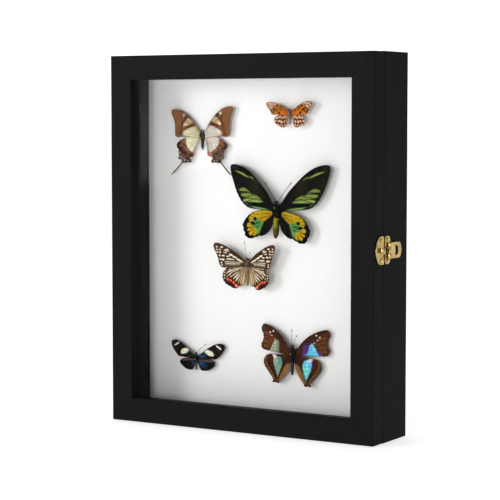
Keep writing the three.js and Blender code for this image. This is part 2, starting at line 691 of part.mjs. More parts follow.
// Head, thorax and abdomen; grown is added to their radii where they cut the wings.
function trunk(species, grown = 0) {
  const [hx, hz, hr] = species.head;
  const [tx, tz, tw, th] = species.thorax;
  const [ax, top, bottom, radius, lean] = species.abdomen;
  const abdomen = [ax, top + grown, bottom - grown, radius + grown, lean];
  return [
    solid(ellipsoid(hx, -0.2, hz, [hr + grown, hr * 0.95 + grown, hr * 0.9 + grown])),
    solid(ellipsoid(tx, THORAX_SET_BACK, tz, [tw + grown, tw * THORAX_FLATNESS + grown, th + grown])),
    solid(abdomenGeometry(abdomen)),
  ];
}

function bodySolid(species) {
  const hole = solid(rod(PIN.hole, -15, 15, 8));
  const feelers = species.antennae.flatMap((tip) => antenna(species, tip));
  const folded = legs(species.thorax, species.legRows);
  return join([...trunk(species), ...feelers, ...folded]).subtract(hole);
}

// A short pin, whose head stands just clear of the thorax.
function pinSolid(depth, thorax) {
  const top = THORAX_SET_BACK - thorax[2] * THORAX_FLATNESS - PIN.above;
  const shaft = solid(rod(PIN.radius, top, BOARD_FRONT - depth + PIN.below, 6));
  const head = solid(ellipsoid(0, top, 0, [PIN.head, PIN.head * 0.8, PIN.head]));
  return join([shaft, head]);
}

function butterfly(species) {
  const [x, depth, z] = species.place;
  const group = new THREE.Group();
  group.position.set(x, FRONT + depth, z);
  group.rotation.y = -THREE.MathUtils.degToRad(species.roll);
  const [tx, tz, tw, th] = species.thorax;
  const cutter = join(trunk(species, WING_ROOT_GAP));
  const core = solid(box(2 * tw * 0.7, 6, th * 1.2, tx, 0, tz));
  const finish = (hex) => new THREE.MeshStandardMaterial({ color: hex, roughness: 0.7 });
  ["left", "right"].forEach((name, index) => {
    const side = index === 0 ? -1 : 1;
    for (const [wing, layer] of [["fore", 0], ["hind", WING_STEP]]) {
      const own = wing === "hind" && side > 0 ? species.rightHind : undefined;
      const outline = wingOutline(own ?? species[wing], species.fit[wing][index], side);
      const plate = wingSolid(outline, species.raised[index], side, layer);
      const parts = plate.subtract(cutter).subtract(core).decompose();
      const kept = parts.sort((a, b) => b.volume() - a.volume())[0];
      const color = species.colors[wing];
      group.add(named(`${species.name}_${name}_${wing}wing`, geometryOf(kept), finish(color)));
    }
  });
  const body = geometryOf(bodySolid(species));
  group.add(named(`${species.name}_body`, body, finish(species.colors.body)));
  group.add(named(`${species.name}_pin`, geometryOf(pinSolid(depth, species.thorax)), steel));
  return group;
}

const displayCase = new THREE.Group();
displayCase.add(
  mitredFrame("case", wallProfile(), CASE_WIDTH, CASE_HEIGHT, CASE_FRONT, 0),
  pinningBoard(SPECIES.map(({ place: [x, , z] }) => [x, z])),
  backPanel(),
  mitredFrame(
    "door",
    railProfile(),
    CASE_WIDTH,
    CASE_HEIGHT - 2 * DOOR_CLEARANCE,
    FRONT,
    DOOR_CLEARANCE,
  ),
  glassPane(),
  ...Object.entries(HINGE_PLACES).map(([place, z]) => hinge(place, z)),
  latch(),
  sawtoothHanger("hanger_left", -90),
  sawtoothHanger("hanger_right", 90),
  ...SPECIES.map(butterfly),
);

export default displayCase;
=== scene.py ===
"""Dresses a shadow-box display case with six pinned butterflies for rendering.

The case's woodwork and brass are bevelled copies of its solids. Each wing is a fine sheet inside
its solid's outline, painted point by point from drawn shapes: streaks, patches, spots and rims.
Lengths inside the specimens are millimetres from each one's pin, u outwards and v up.
"""
import math
import random

import bmesh
import bpy
import numpy as np
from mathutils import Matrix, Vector
from mathutils.geometry import delaunay_2d_cdt


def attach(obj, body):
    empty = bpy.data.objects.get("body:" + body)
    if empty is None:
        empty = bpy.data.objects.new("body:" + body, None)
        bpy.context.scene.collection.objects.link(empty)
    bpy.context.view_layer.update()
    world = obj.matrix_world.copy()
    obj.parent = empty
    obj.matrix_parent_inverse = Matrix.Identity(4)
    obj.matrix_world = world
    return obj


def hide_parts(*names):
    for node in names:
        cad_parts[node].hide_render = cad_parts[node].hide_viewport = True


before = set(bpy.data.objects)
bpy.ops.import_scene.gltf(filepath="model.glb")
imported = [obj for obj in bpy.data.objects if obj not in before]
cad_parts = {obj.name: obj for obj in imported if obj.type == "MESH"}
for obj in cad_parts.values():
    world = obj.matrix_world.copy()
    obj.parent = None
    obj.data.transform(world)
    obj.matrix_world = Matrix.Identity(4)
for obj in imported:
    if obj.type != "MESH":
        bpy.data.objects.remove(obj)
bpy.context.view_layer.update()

MM = 0.001

# The photograph's viewpoint
CAMERA_PLACE = (0.9957, -1.6773, 0.3452)
CAMERA_AZIMUTH = 30.872
CAMERA_PITCH = 4.332
CAMERA_LENS = 127.94
SENSOR_WIDTH = 36

# Edges of the copied solids, in degrees: which are bevelled, and which stay sharp
BEVEL_ANGLE = 28
CREASE_ANGLE = 32

# Brass plates on the case's sides and their screws, in millimetres
CASE_SIDE = 165.5
PLATE_GAP = 0.2
LEAF_THICKNESS = 1.2
LATCH_THICKNESS = 1.0
LEAF_SCREWS = ((-12, 9.7), (0, 14.7), (12, 9.7))
SUNK_RADIUS = 2.3
HEAD_SUNK = 0.3
HINGE_SCREW_RADIUS = 2.35
LATCH_SCREW_RADIUS = 2.15

# Wings, with lengths in millimetres: the solids, and the sheets and veins that dress them
WING_THICKNESS = 0.5
HIND_LAYER = 0.8
SHEET_STEP = 0.45
SHEET_THICKNESS = 0.16
ROW_RATIO = 0.866
THIN_RIM = 0.5
FOLD_HEIGHT = 0.05
CAMBER_HEIGHT = 0.07
CAMBER_REACH = 40
VEIN_RADII = (0.13, 0.07)
VEIN_RISE = 0.04
VEIN_MARGIN = 0.5
VEIN_SHADE = 0.82
WOBBLE = 0.55
WOBBLE_SIZE = 1.1

# Bodies, with lengths in millimetres
HEAD_Y = -0.2
THORAX_Y = 0.4
CHEST_FLATNESS = 0.95
ABDOMEN_SEGMENTS = 8
HAIR_COUNT = 950
HAIR_RADIUS = 0.05
LONGEST_HAIR = 1.5

# The closed door's front along y, the board's depth behind it, and the pins, in millimetres
CASE_FRONT_MM = -39.5
BOARD_DEPTH = 55
PIN_STANDS_OUT = 1.5
PIN_IN_BOARD = 8

# Stage
FLOOR_HALF = 30.0
FLOOR_GLOW = 0.62
LIGHT_AIM = (0, 0, 0.2)


# Small mesh and material makers

def object_from(name, verts, faces, smooth=True):
    mesh = bpy.data.meshes.new(name)
    mesh.from_pydata([tuple(v) for v in verts], [], [tuple(f) for f in faces])
    mesh.validate()
    mesh.update()
    if smooth:
        mesh.shade_smooth()
    else:
        mesh.shade_flat()
    made = bpy.data.objects.new(name, mesh)
    bpy.context.scene.collection.objects.link(made)
    return made


def finish_piece(piece, body, material=None, replaces=()):
    if material is not None:
        piece.data.materials.clear()
        piece.data.materials.append(material)
    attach(piece, body)
    if replaces:
        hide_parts(*replaces)


def put(tree, kind, inputs=None, **settings):
    """A new node; each input is given a value, or joined to the socket it names."""
    node = tree.nodes.new(kind)
    for key, value in settings.items():
        setattr(node, key, value)
    for key, value in (inputs or {}).items():
        if isinstance(value, bpy.types.NodeSocket):
            tree.links.new(value, node.inputs[key])
        else:
            node.inputs[key].default_value = value
    return node


class Look:
    """A material with short calls for adding and joining its nodes."""

    def __init__(self, name, **values):
        self.material = bpy.data.materials.new(name)
        self.material.use_nodes = True
        self.tree = self.material.node_tree
        self.surface = self.tree.nodes["Principled BSDF"]
        for socket, value in values.items():
            self.surface.inputs[socket.replace("_", " ")].default_value = value

    def add(self, kind, inputs=None, **settings):
        return put(self.tree, kind, inputs, **settings)

    def feed(self, socket, source):
        self.tree.links.new(source, self.surface.inputs[socket])

    def place(self, scale):
        spot = self.add("ShaderNodeTexCoord")
        return self.add(
            "ShaderNodeMapping", {"Vector": spot.outputs["Object"], "Scale": scale}
        ).outputs["Vector"]

    def noise(self, scale, stretch=(1, 1, 1), detail=4.0, roughness=0.6):
        return self.add(
            "ShaderNodeTexNoise",
            {
                "Vector": self.place(stretch),
                "Scale": scale,
                "Detail": detail,
                "Roughness": roughness,
            },
        ).outputs["Fac"]

    def between(self, factor, low, high):
        return self.add(
            "ShaderNodeMapRange", {"Value": factor, "To Min": low, "To Max": high}
        ).outputs["Result"]

    def blend(self, factor, first, second):
        node = self.add("ShaderNodeMix", {0: factor, 6: first, 7: second}, data_type="RGBA")
        return node.outputs[2]

    def bump(self, height, strength, distance):
        node = self.add(
            "ShaderNodeBump", {"Height": height, "Strength": strength, "Distance": distance}
        )
        self.feed("Normal", node.outputs["Normal"])


def srgb(values):
    """Colours from 0 to 255 as linear light."""
    c = np.asarray(values, float) / 255
    return np.where(c <= 0.04045, c / 12.92, ((c + 0.055) / 1.055) ** 2.4)


def rgba(*values):
    return (*srgb(values), 1.0)


def black_paint(name, stretch):
    look = Look(name, Roughness=0.42, Specular_IOR_Level=0.014)
    grain = look.noise(scale=90, stretch=stretch, detail=6.0, roughness=0.65)
    cloud = look.noise(scale=9, detail=3.0)
    tone = look.blend(grain, rgba(18, 18, 18), rgba(30, 30, 30))
    look.feed("Base Color", look.blend(cloud, tone, rgba(24, 24, 24)))
    sheen = look.noise(scale=260, stretch=stretch, detail=3.0)
    look.feed("Roughness", look.between(sheen, low=0.36, high=0.56))
    look.bump(grain, strength=0.22, distance=0.0004)
    return look.material


def wood_blocks():
    """Paint whose grain runs along each board: up the sides, and level above and below."""
    upright = black_paint("black_paint_upright", stretch=(1, 1, 0.07))
    level = black_paint("black_paint_level", stretch=(0.07, 1, 1))
    return {"left": upright, "right": upright, "top": level, "bottom": level}


def board_paper():
    look = Look("white_board_paper", Roughness=0.9, Specular_IOR_Level=0.1)
    fibre = look.noise(scale=900, detail=3.0)
    cloud = look.noise(scale=14)
    look.feed("Base Color", look.blend(cloud, rgba(245, 245, 244), rgba(250, 250, 249)))
    look.bump(fibre, strength=0.15, distance=0.0001)
    return look.material


def hardboard():
    look = Look("brown_hardboard", Roughness=0.72)
    speck = look.noise(scale=700, detail=5.0, roughness=0.75)
    tone = look.blend(speck, rgba(92, 62, 38), rgba(142, 104, 68))
    look.feed("Base Color", look.blend(look.noise(scale=16), tone, rgba(112, 78, 48)))
    look.bump(speck, strength=0.4, distance=0.0002)
    return look.material


def clear_glass():
    look = Look(
        "clear_glass",
        Base_Color=(0.012, 0.016, 0.015, 1),
        Roughness=0.03,
        Alpha=0.03,
        Specular_IOR_Level=0.6,
    )
    return look.material


def brass():
    look = Look("polished_brass", Metallic=1.0, Roughness=0.24)
    wear = look.noise(scale=320, detail=6.0, roughness=0.7)
    tarnish = look.noise(scale=110)
    tone = look.blend(
        look.between(tarnish, low=-0.7, high=1.6), rgba(190, 158, 86), rgba(84, 54, 16)
    )
    bright = look.between(wear, low=-0.5, high=1.1)
    look.feed("Base Color", look.blend(bright, tone, rgba(250, 228, 150)))
    look.feed("Roughness", look.between(wear, low=0.14, high=0.42))
    look.bump(wear, strength=0.25, distance=0.0002)
    return look.material


def plain_brass_screws():
    look = Look("brass_screw", Metallic=1.0, Roughness=0.22)
    wear = look.noise(scale=600)
    look.feed("Base Color", look.blend(wear, rgba(214, 170, 82), rgba(250, 224, 146)))
    return look.material


def steel():
    look = Look("plated_steel", Metallic=1.0, Roughness=0.3)
    scratch = look.noise(scale=500, stretch=(1, 1, 0.1))
    look.feed("Base Color", look.blend(scratch, rgba(150, 150, 150), rgba(205, 205, 203)))
    look.feed("Roughness", look.between(scratch, low=0.22, high=0.45))
    return look.material


def painted_scales(name, roughness, grain_size, depth):
    """Colour from the piece's own paint, broken up by rows of fine scales."""
    look = Look(name, Roughness=roughness, Specular_IOR_Level=0.02)
    paint = look.add("ShaderNodeAttribute", attribute_name="paint").outputs["Color"]
    dust = look.noise(scale=grain_size, detail=3.0, roughness=0.7)
    darker = look.add(
        "ShaderNodeHueSaturation", {"Color": paint, "Value": 0.86, "Saturation": 1.04}
    )
    lighter = look.add(
        "ShaderNodeHueSaturation", {"Color": paint, "Value": 1.13, "Saturation": 0.98}
    )
    tone = look.blend(dust, darker.outputs["Color"], lighter.outputs["Color"])
    look.feed("Base Color", tone)
    look.bump(dust, strength=depth, distance=0.0001)
    return look.material


def plain(name, colour, roughness, specular):
    look = Look(name, Roughness=roughness, Specular_IOR_Level=specular)
    dust = look.noise(scale=1500, detail=3.0)
    paler = tuple(min(1.0, c * 1.5 + 0.004) for c in colour[:3]) + (1.0,)
    look.feed("Base Color", look.blend(dust, colour, paler))
    return look.material


WOOD = wood_blocks()
BOARD = board_paper()
HARDBOARD = hardboard()
GLASS = clear_glass()
BRASS = brass()
SCREW_BRASS = plain_brass_screws()
STEEL = steel()
SCALES = painted_scales("wing_scales", 0.62, 2600, 0.25)
FUR = painted_scales("insect_skin", 0.7, 1800, 0.5)


# Woodwork, glass and plates: bevelled copies of the solids

# The seam between case and door, the hinges and the latch, in metres
SEAM_Y = -0.0167
HINGE_Z = {"upper": 0.330, "lower": 0.082}
LATCH_Z = 0.2046
LEAF_FACE = -(CASE_SIDE + PLATE_GAP + LEAF_THICKNESS) * MM
LATCH_FACE = (CASE_SIDE + PLATE_GAP + LATCH_THICKNESS) * MM


def leaf_places(way, z):
    """A hinge leaf's three screws, in metres; way is 1 on the case and -1 on the door."""
    return [(SEAM_Y + way * y * MM, z + up * MM) for up, y in LEAF_SCREWS]


LATCH_PLACES = [(SEAM_Y + 6.9 * MM, LATCH_Z + s * 11.4 * MM) for s in (-1, 1)]
CATCH_PLACES = [(SEAM_Y - 7 * MM, LATCH_Z + s * 11 * MM) for s in (-1, 1)]
SCREWED = {
    "latch_plate": [(1, LATCH_FACE, LATCH_PLACES)],
    "catch_plate": [(1, LATCH_FACE, CATCH_PLACES)],
}
for where, height in HINGE_Z.items():
    SCREWED[f"hinge_{where}_case_leaf"] = [(-1, LEAF_FACE, leaf_places(1, height))]
    SCREWED[f"hinge_{where}_door_leaf"] = [(-1, LEAF_FACE, leaf_places(-1, height))]


def sink_heads(work, side, face, places):
    """Flattens a plate's plain screw heads into its face, where modelled screws then sit."""
    for vert in work.verts:
        if side * (vert.co.x - face) > 1e-5:
            gaps = (math.hypot(vert.co.y - y, vert.co.z - z) for y, z in places)
            if min(gaps) < SUNK_RADIUS * MM:
                vert.co.x = face


def bevelled_copy(node, width, flat_above):
    """A solid's copy with rounded edges; its faces above the given area stay flat."""
    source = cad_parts[node].data
    mesh = bpy.data.meshes.new(f"{node}_dressed")
    work = bmesh.new()
    work.from_mesh(source)
    for side, face, places in SCREWED.get(node, ()):
        sink_heads(work, side, face, places)
    bmesh.ops.remove_doubles(work, verts=work.verts, dist=1e-6)
    bmesh.ops.dissolve_limit(
        work, angle_limit=math.radians(0.5), verts=work.verts, edges=work.edges
    )
    sharp = [
        e
        for e in work.edges
        if len(e.link_faces) == 2 and e.calc_face_angle(0.0) > math.radians(BEVEL_ANGLE)
    ]
    bmesh.ops.bevel(
        work,
        geom=sharp,
        offset=width,
        segments=2,
        profile=0.5,
        affect="EDGES",
        clamp_overlap=True,
    )
    for face in work.faces:
        face.smooth = face.calc_area() < flat_above
    bmesh.ops.triangulate(work, faces=[f for f in work.faces if len(f.verts) > 4])
    work.to_mesh(mesh)
    work.free()
    rounded = [face.use_smooth for face in mesh.polygons]
    mesh.set_sharp_from_angle(angle=math.radians(CREASE_ANGLE))
    mesh.polygons.foreach_set("use_smooth", rounded)
    made = bpy.data.objects.new(f"{node}_dressed", mesh)
    bpy.context.scene.collection.objects.link(made)
    return made


def dress(node, body, slot, material, width):
    flat_above = (40 if slot in ("brass", "steel") else 500) * MM * MM
    piece = bevelled_copy(node, width * MM, flat_above)
    finish_piece(piece, body, material, (node,))


for part, body in (("case", "case"), ("door", "door")):
    for side, paint in WOOD.items():
        dress(f"{part}_{side}", body, "black_wood", paint, 0.35)

dress("glass", "door", "clear_glass", GLASS, 0.3)
dress("pinning_board", "case", "white_board", BOARD, 0.25)
dress("back_panel", "case", "hardboard", HARDBOARD, 0.4)
for place in ("upper", "lower"):
    dress(f"hinge_{place}_case_leaf", "case", "brass", BRASS, 0.18)
    dress(f"hinge_{place}_pin", "case", "brass", BRASS, 0.15)
    dress(f"hinge_{place}_door_leaf", "door", "brass", BRASS, 0.18)
dress("catch_plate", "door", "brass", BRASS, 0.2)
dress("latch_plate", "case", "brass", BRASS, 0.2)
dress("latch_pin", "case", "brass", BRASS, 0.15)
dress("hasp", "hasp", "brass", BRASS, 0.25)
for side in ("left", "right"):
    dress(f"hanger_{side}", "case", "steel", STEEL, 0.1)


# Geometry Nodes: tubes along paths, screws on points, hairs on a surface

def new_tree(name, inputs):
    tree = bpy.data.node_groups.new(name, "GeometryNodeTree")
    face = tree.interface
    face.new_socket("Geometry", in_out="INPUT", socket_type="NodeSocketGeometry")
    for label, kind, value in inputs:
        socket = face.new_socket(label, in_out="INPUT", socket_type=kind)
        if value is not None:
            socket.default_value = value
    face.new_socket("Geometry", in_out="OUTPUT", socket_type="NodeSocketGeometry")
    return tree, tree.nodes.new("NodeGroupInput"), tree.nodes.new("NodeGroupOutput")


def close_tree(tree, geometry, group_in, group_out, smooth=True):
    real = put(tree, "GeometryNodeRealizeInstances", {"Geometry": geometry})
    shade = put(
        tree,
        "GeometryNodeSetShadeSmooth",
        {"Geometry": real.outputs["Geometry"], "Shade Smooth": smooth},
    )
    coat = put(
        tree,
        "GeometryNodeSetMaterial",
        {"Geometry": shade.outputs["Geometry"], "Material": group_in.outputs["Material"]},
    )
    tree.links.new(coat.outputs["Geometry"], group_out.inputs["Geometry"])
    return tree


def tube_tree():
    """A tube along every edge path, as thick as the path's own thickness attribute says."""
    tree, start, end = new_tree(
        "tubes_along_paths",
        [("Sides", "NodeSocketInt", 6), ("Material", "NodeSocketMaterial", None)],
    )
    thick = put(tree, "GeometryNodeInputNamedAttribute", {"Name": "thickness"}, data_type="FLOAT")
    path = put(tree, "GeometryNodeMeshToCurve", {"Mesh": start.outputs["Geometry"]})
    ring = put(
        tree,
        "GeometryNodeCurvePrimitiveCircle",
        {"Resolution": start.outputs["Sides"], "Radius": 1.0},
        mode="RADIUS",
    )
    tube = put(
        tree,
        "GeometryNodeCurveToMesh",
        {
            "Curve": path.outputs["Curve"],
            "Profile Curve": ring.outputs["Curve"],
            "Scale": thick.outputs["Attribute"],
            "Fill Caps": True,
        },
    )
    return close_tree(tree, tube.outputs["Mesh"], start, end)


def screw_tree():
    """The given screw head on every point, turned as the point's facing attribute says."""
    tree, start, end = new_tree(
        "screws_on_points",
        [
            ("Screw", "NodeSocketObject", None),
            ("Size", "NodeSocketFloat", 1.0),
            ("Material", "NodeSocketMaterial", None),
        ],
    )
    facing = put(
        tree, "GeometryNodeInputNamedAttribute", {"Name": "facing"}, data_type="FLOAT_VECTOR"
    )
    source = put(tree, "GeometryNodeObjectInfo", {"Object": start.outputs["Screw"]})
    heads = put(
        tree,
        "GeometryNodeInstanceOnPoints",
        {
            "Points": start.outputs["Geometry"],
            "Instance": source.outputs["Geometry"],
            "Rotation": facing.outputs["Attribute"],
            "Scale": start.outputs["Size"],
        },
    )
    return close_tree(tree, heads.outputs["Instances"], start, end)


def hair_tree():
    """Fine tapered hairs that stand out of a surface and lean down."""
    tree, start, end = new_tree(
        "hairs_on_surface",
        [
            ("Density", "NodeSocketFloat", 1.0),
            ("Length", "NodeSocketFloat", 1.0),
            ("Radius", "NodeSocketFloat", 0.1),
            ("Seed", "NodeSocketInt", 1),
            ("Material", "NodeSocketMaterial", None),
        ],
    )
    spread = put(
        tree,
        "GeometryNodeDistributePointsOnFaces",
        {
            "Mesh": start.outputs["Geometry"],
            "Density": start.outputs["Density"],
            "Seed": start.outputs["Seed"],
        },
    )
    cone = put(
        tree,
        "GeometryNodeMeshCone",
        {
            "Vertices": 3,
            "Radius Bottom": start.outputs["Radius"],
            "Radius Top": 0.0,
            "Depth": start.outputs["Length"],
        },
    )
    tilt = put(
        tree,
        "FunctionNodeRandomValue",
        {"Min": (-0.45, -0.45, -0.9), "Max": (0.45, 0.45, 0.1), "Seed": start.outputs["Seed"]},
        data_type="FLOAT_VECTOR",
    )
    lean = put(
        tree,
        "ShaderNodeVectorMath",
        {0: spread.outputs["Normal"], 1: tilt.outputs["Value"]},
        operation="ADD",
    )
    turn = put(
        tree,
        "FunctionNodeAlignRotationToVector",
        {"Vector": lean.outputs["Vector"]},
        axis="Z",
    )
    size = put(
        tree,
        "FunctionNodeRandomValue",
        {2: 0.55, 3: 1.25, "Seed": start.outputs["Seed"]},
        data_type="FLOAT",
    )
    hairs = put(
        tree,
        "GeometryNodeInstanceOnPoints",
        {
            "Points": spread.outputs["Points"],
            "Instance": cone.outputs["Mesh"],
            "Rotation": turn.outputs["Rotation"],
            "Scale": size.outputs[1],
        },
    )
    return close_tree(tree, hairs.outputs["Instances"], start, end, smooth=False)


TUBES = tube_tree()
SCREWS = screw_tree()
HAIRS = hair_tree()


def grown(source, tree, name, **values):
    """The tree's result on the source object, as a plain mesh object; the source is dropped."""
    source.name = name + "_carrier"
    change = source.modifiers.new(tree.name, "NODES")
    change.node_group = tree
    for item in tree.interface.items_tree:
        if item.in_out == "INPUT" and item.name in values:
            change[item.identifier] = values[item.name]
    graph = bpy.context.evaluated_depsgraph_get()
    mesh = bpy.data.meshes.new_from_object(
        source.evaluated_get(graph), preserve_all_data_layers=True, depsgraph=graph
    )
    mesh.name = name
    made = bpy.data.objects.new(name, mesh)
    bpy.context.scene.collection.objects.link(made)
    bpy.data.objects.remove(source)
    return made


def screw_head():
    """A domed head with a cross recess, one millimetre in radius, facing +Z."""
    rings, sides, dome, recess = 12, 40, 0.42, 0.26
    arm_half, arm_reach, skirt = 0.12, 0.62, 0.25
    corners = [2 * math.pi * side / sides for side in range(sides)]
    verts = [(0.0, 0.0, dome - recess)]
    for ring in range(1, rings + 1):
        r = ring / rings
        for a in corners:
            x, y = r * math.cos(a), r * math.sin(a)
            z = dome * math.sqrt(max(0.0, 1 - (0.94 * r) ** 2))
            if min(abs(x), abs(y)) < arm_half and r < arm_reach:
                z -= recess * (1 - r * 0.7)
            verts.append((x, y, z))
    verts += [(math.cos(a), math.sin(a), -skirt) for a in corners]
    faces = [(0, 1 + s, 1 + (s + 1) % sides) for s in range(sides)]
    for ring in range(rings):
        near, far = 1 + ring * sides, 1 + (ring + 1) * sides
        for s in range(sides):
            t = (s + 1) % sides
            faces.append((near + s, far + s, far + t, near + t))
    faces.append(tuple(range(len(verts) - 1, len(verts) - 1 - sides, -1)))
    return object_from("screw_pattern", verts, faces)


def screws(name, body, places, size):
    """places: (x, y, z, side) in metres; side is which way along X the head faces."""
    points = bpy.data.meshes.new(name)
    points.from_pydata([p[:3] for p in places], [], [])
    facing = points.attributes.new("facing", "FLOAT_VECTOR", "POINT")
    chance = random.Random(len(name))
    for i, (_, _, _, side) in enumerate(places):
        facing.data[i].vector = (chance.uniform(0, 3), side * math.pi / 2, 0)
    carrier = bpy.data.objects.new(name, points)
    bpy.context.scene.collection.objects.link(carrier)
    pattern = screw_head()
    made = grown(carrier, SCREWS, name, Screw=pattern, Size=size * MM, Material=SCREW_BRASS)
    bpy.data.objects.remove(pattern)
    finish_piece(made, body)


def fastenings():
    for body, way in (("case", 1), ("door", -1)):
        spots = [p for z in HINGE_Z.values() for p in leaf_places(way, z)]
        places = [(LEAF_FACE + HEAD_SUNK * MM, y, z, -1) for y, z in spots]
        screws(f"hinge_screws_{body}", body, places, HINGE_SCREW_RADIUS)
    for body, spots in (("case", LATCH_PLACES), ("door", CATCH_PLACES)):
        places = [(LATCH_FACE - HEAD_SUNK * MM, y, z, 1) for y, z in spots]
        screws(f"latch_screws_{body}", body, places, LATCH_SCREW_RADIUS)


fastenings()


def outward_faces(piece):
    """Turns every face of a closed mesh outwards."""
    work = bmesh.new()
    work.from_mesh(piece.data)
    bmesh.ops.recalc_face_normals(work, faces=work.faces)
    work.to_mesh(piece.data)
    work.free()


def panel_tabs():
    """Thin steel points that hold the back panel in its rebate."""
    x_edge, z_low, z_high, y = 0.1563, 0.0093, 0.4027, 0.0311
    long, half, thick = 0.012, 0.0035, 0.0005
    outline = ((0, -1), (0.75, -1), (1, 0), (0.75, 1), (0, 1))
    places = [(s * x_edge, z, s, 0) for s in (-1, 1) for z in (0.09, 0.206, 0.322)]
    places += [(x, z, 0, w) for w, z in ((-1, z_low), (1, z_high)) for x in (-0.045, 0.045)]
    verts, faces = [], []
    for x, z, dx, dz in places:
        start, count = len(verts), len(outline)
        for t in (0.0, thick):
            for along, across in outline:
                px = x - dx * long * along + dz * half * across
                pz = z - dz * long * along + dx * half * across
                verts.append((px, y + t, pz))
        faces.append(tuple(start + i for i in range(count)))
        faces.append(tuple(start + 2 * count - 1 - i for i in range(count)))
        for i in range(count):
            j = (i + 1) % count
            faces.append((start + i, start + count + i, start + count + j, start + j))
    piece = object_from("back_panel_points", verts, faces, smooth=False)
    outward_faces(piece)
    finish_piece(piece, "case", STEEL)


panel_tabs()


# Painting: masks over arrays of u and v

def lattice(u, v, seed):
    n = np.sin(u * 127.1 + v * 311.7 + seed * 74.7) * 43758.5453
    return n - np.floor(n)


def noise(u, v, size, seed=0):
    """Smooth noise from 0 to 1 with features of the given size."""
    x, y = np.asarray(u) / size, np.asarray(v) / size
    i, j = np.floor(x), np.floor(y)
    f, g = x - i, y - j
    f, g = f * f * (3 - 2 * f), g * g * (3 - 2 * g)
    low = lattice(i, j, seed) * (1 - f) + lattice(i + 1, j, seed) * f
    high = lattice(i, j + 1, seed) * (1 - f) + lattice(i + 1, j + 1, seed) * f
    return low * (1 - g) + high * g


def ramp(value, start, end):
    t = np.clip((value - start) / (end - start), 0, 1)
    return t * t * (3 - 2 * t)


def polygon_distance(u, v, points):
    """Distance to a closed outline, negative inside."""
    pts = np.asarray(points, float)
    best = np.full(u.shape, 1e9)
    inside = np.zeros(u.shape, bool)
    for (ax, ay), (bx, by) in zip(pts, np.roll(pts, -1, 0)):
        dx, dy = bx - ax, by - ay
        t = np.clip(((u - ax) * dx + (v - ay) * dy) / (dx * dx + dy * dy + 1e-12), 0, 1)
        best = np.minimum(best, (u - ax - t * dx) ** 2 + (v - ay - t * dy) ** 2)
        if ay != by:
            crosses = (v < ay) != (v < by)
            inside ^= crosses & (u < dx * (v - ay) / (by - ay) + ax)
    return np.where(inside, -1, 1) * np.sqrt(best)


def path_distance(u, v, path):
    """Distance to a path of (u, v, half width) points, negative inside its width."""
    best = np.full(u.shape, 1e9)
    for (ax, ay, aw), (bx, by, bw) in zip(path, path[1:]):
        dx, dy = bx - ax, by - ay
        t = np.clip(((u - ax) * dx + (v - ay) * dy) / (dx * dx + dy * dy + 1e-12), 0, 1)
        gap = np.hypot(u - ax - t * dx, v - ay - t * dy) - (aw + (bw - aw) * t)
        best = np.minimum(best, gap)
    return best


class Canvas:
    """Colours of a wing's points, from 0 to 255, changed by one drawn shape after another."""

    def __init__(self, u, v, rim, seed):
        self.rim = rim
        self.u = u + WOBBLE * (noise(u, v, WOBBLE_SIZE, seed) - 0.5)
        self.v = v + WOBBLE * (noise(u, v, WOBBLE_SIZE, seed + 9) - 0.5)
        self.seed = seed
        self.colour = np.zeros((len(u), 3))

    def lay(self, mask, colour, strength=1.0):
        change = (mask * strength)[:, None]
        self.colour += (np.asarray(colour, float) - self.colour) * change

    def patch(self, points, colour, soft=0.5, strength=1.0):
        gap = polygon_distance(self.u, self.v, points)
        self.lay(1 - ramp(gap, -soft, soft), colour, strength)

    def streak(self, path, colour, soft=0.35, strength=1.0):
        gap = path_distance(self.u, self.v, path)
        self.lay(1 - ramp(gap, -soft, soft), colour, strength)

    def strokes(self, ends, halves, colour, soft, strength):
        """Straight streaks between pairs of points; halves are the half widths at both ends."""
        for start, end in ends:
            self.streak([(*start, halves[0]), (*end, halves[1])], colour, soft, strength)

    def spot(self, u, v, wide, tall, colour, tilt=0.0, soft=0.3, strength=1.0):
        c, s = math.cos(math.radians(tilt)), math.sin(math.radians(tilt))
        a = ((self.u - u) * c + (self.v - v) * s) / wide
        b = ((self.v - v) * c - (self.u - u) * s) / tall
        reach = (np.hypot(a, b) - 1) * min(wide, tall)
        self.lay(1 - ramp(reach, -soft, soft), colour, strength)

    def spots(self, places, grow, colour, tilt=0.0, soft=0.3, strength=1.0):
        """places: (u, v, half width, half height); grow stretches both halves."""
        for u, v, wide, tall in places:
            self.spot(u, v, wide * grow[0], tall * grow[1], colour, tilt, soft, strength)

    def border(self, width, colour, soft=0.5, strength=1.0, where=None):
        mask = 1 - ramp(self.rim, width - soft, width + soft)
        self.lay(mask if where is None else mask * where, colour, strength)

    def mottle(self, size, amount, seed=0):
        n = noise(self.u, self.v, size, self.seed + 31 + seed) - 0.5
        self.colour *= (1 + 2 * amount * n)[:, None]


def veins_on(canvas, paths, colour, half=0.16, strength=0.6):
    for path in paths:
        canvas.streak([(u, v, half) for u, v in path], colour, 0.25, strength)


# Wing veins: from the root outwards, shared by the painting and by the raised tubes

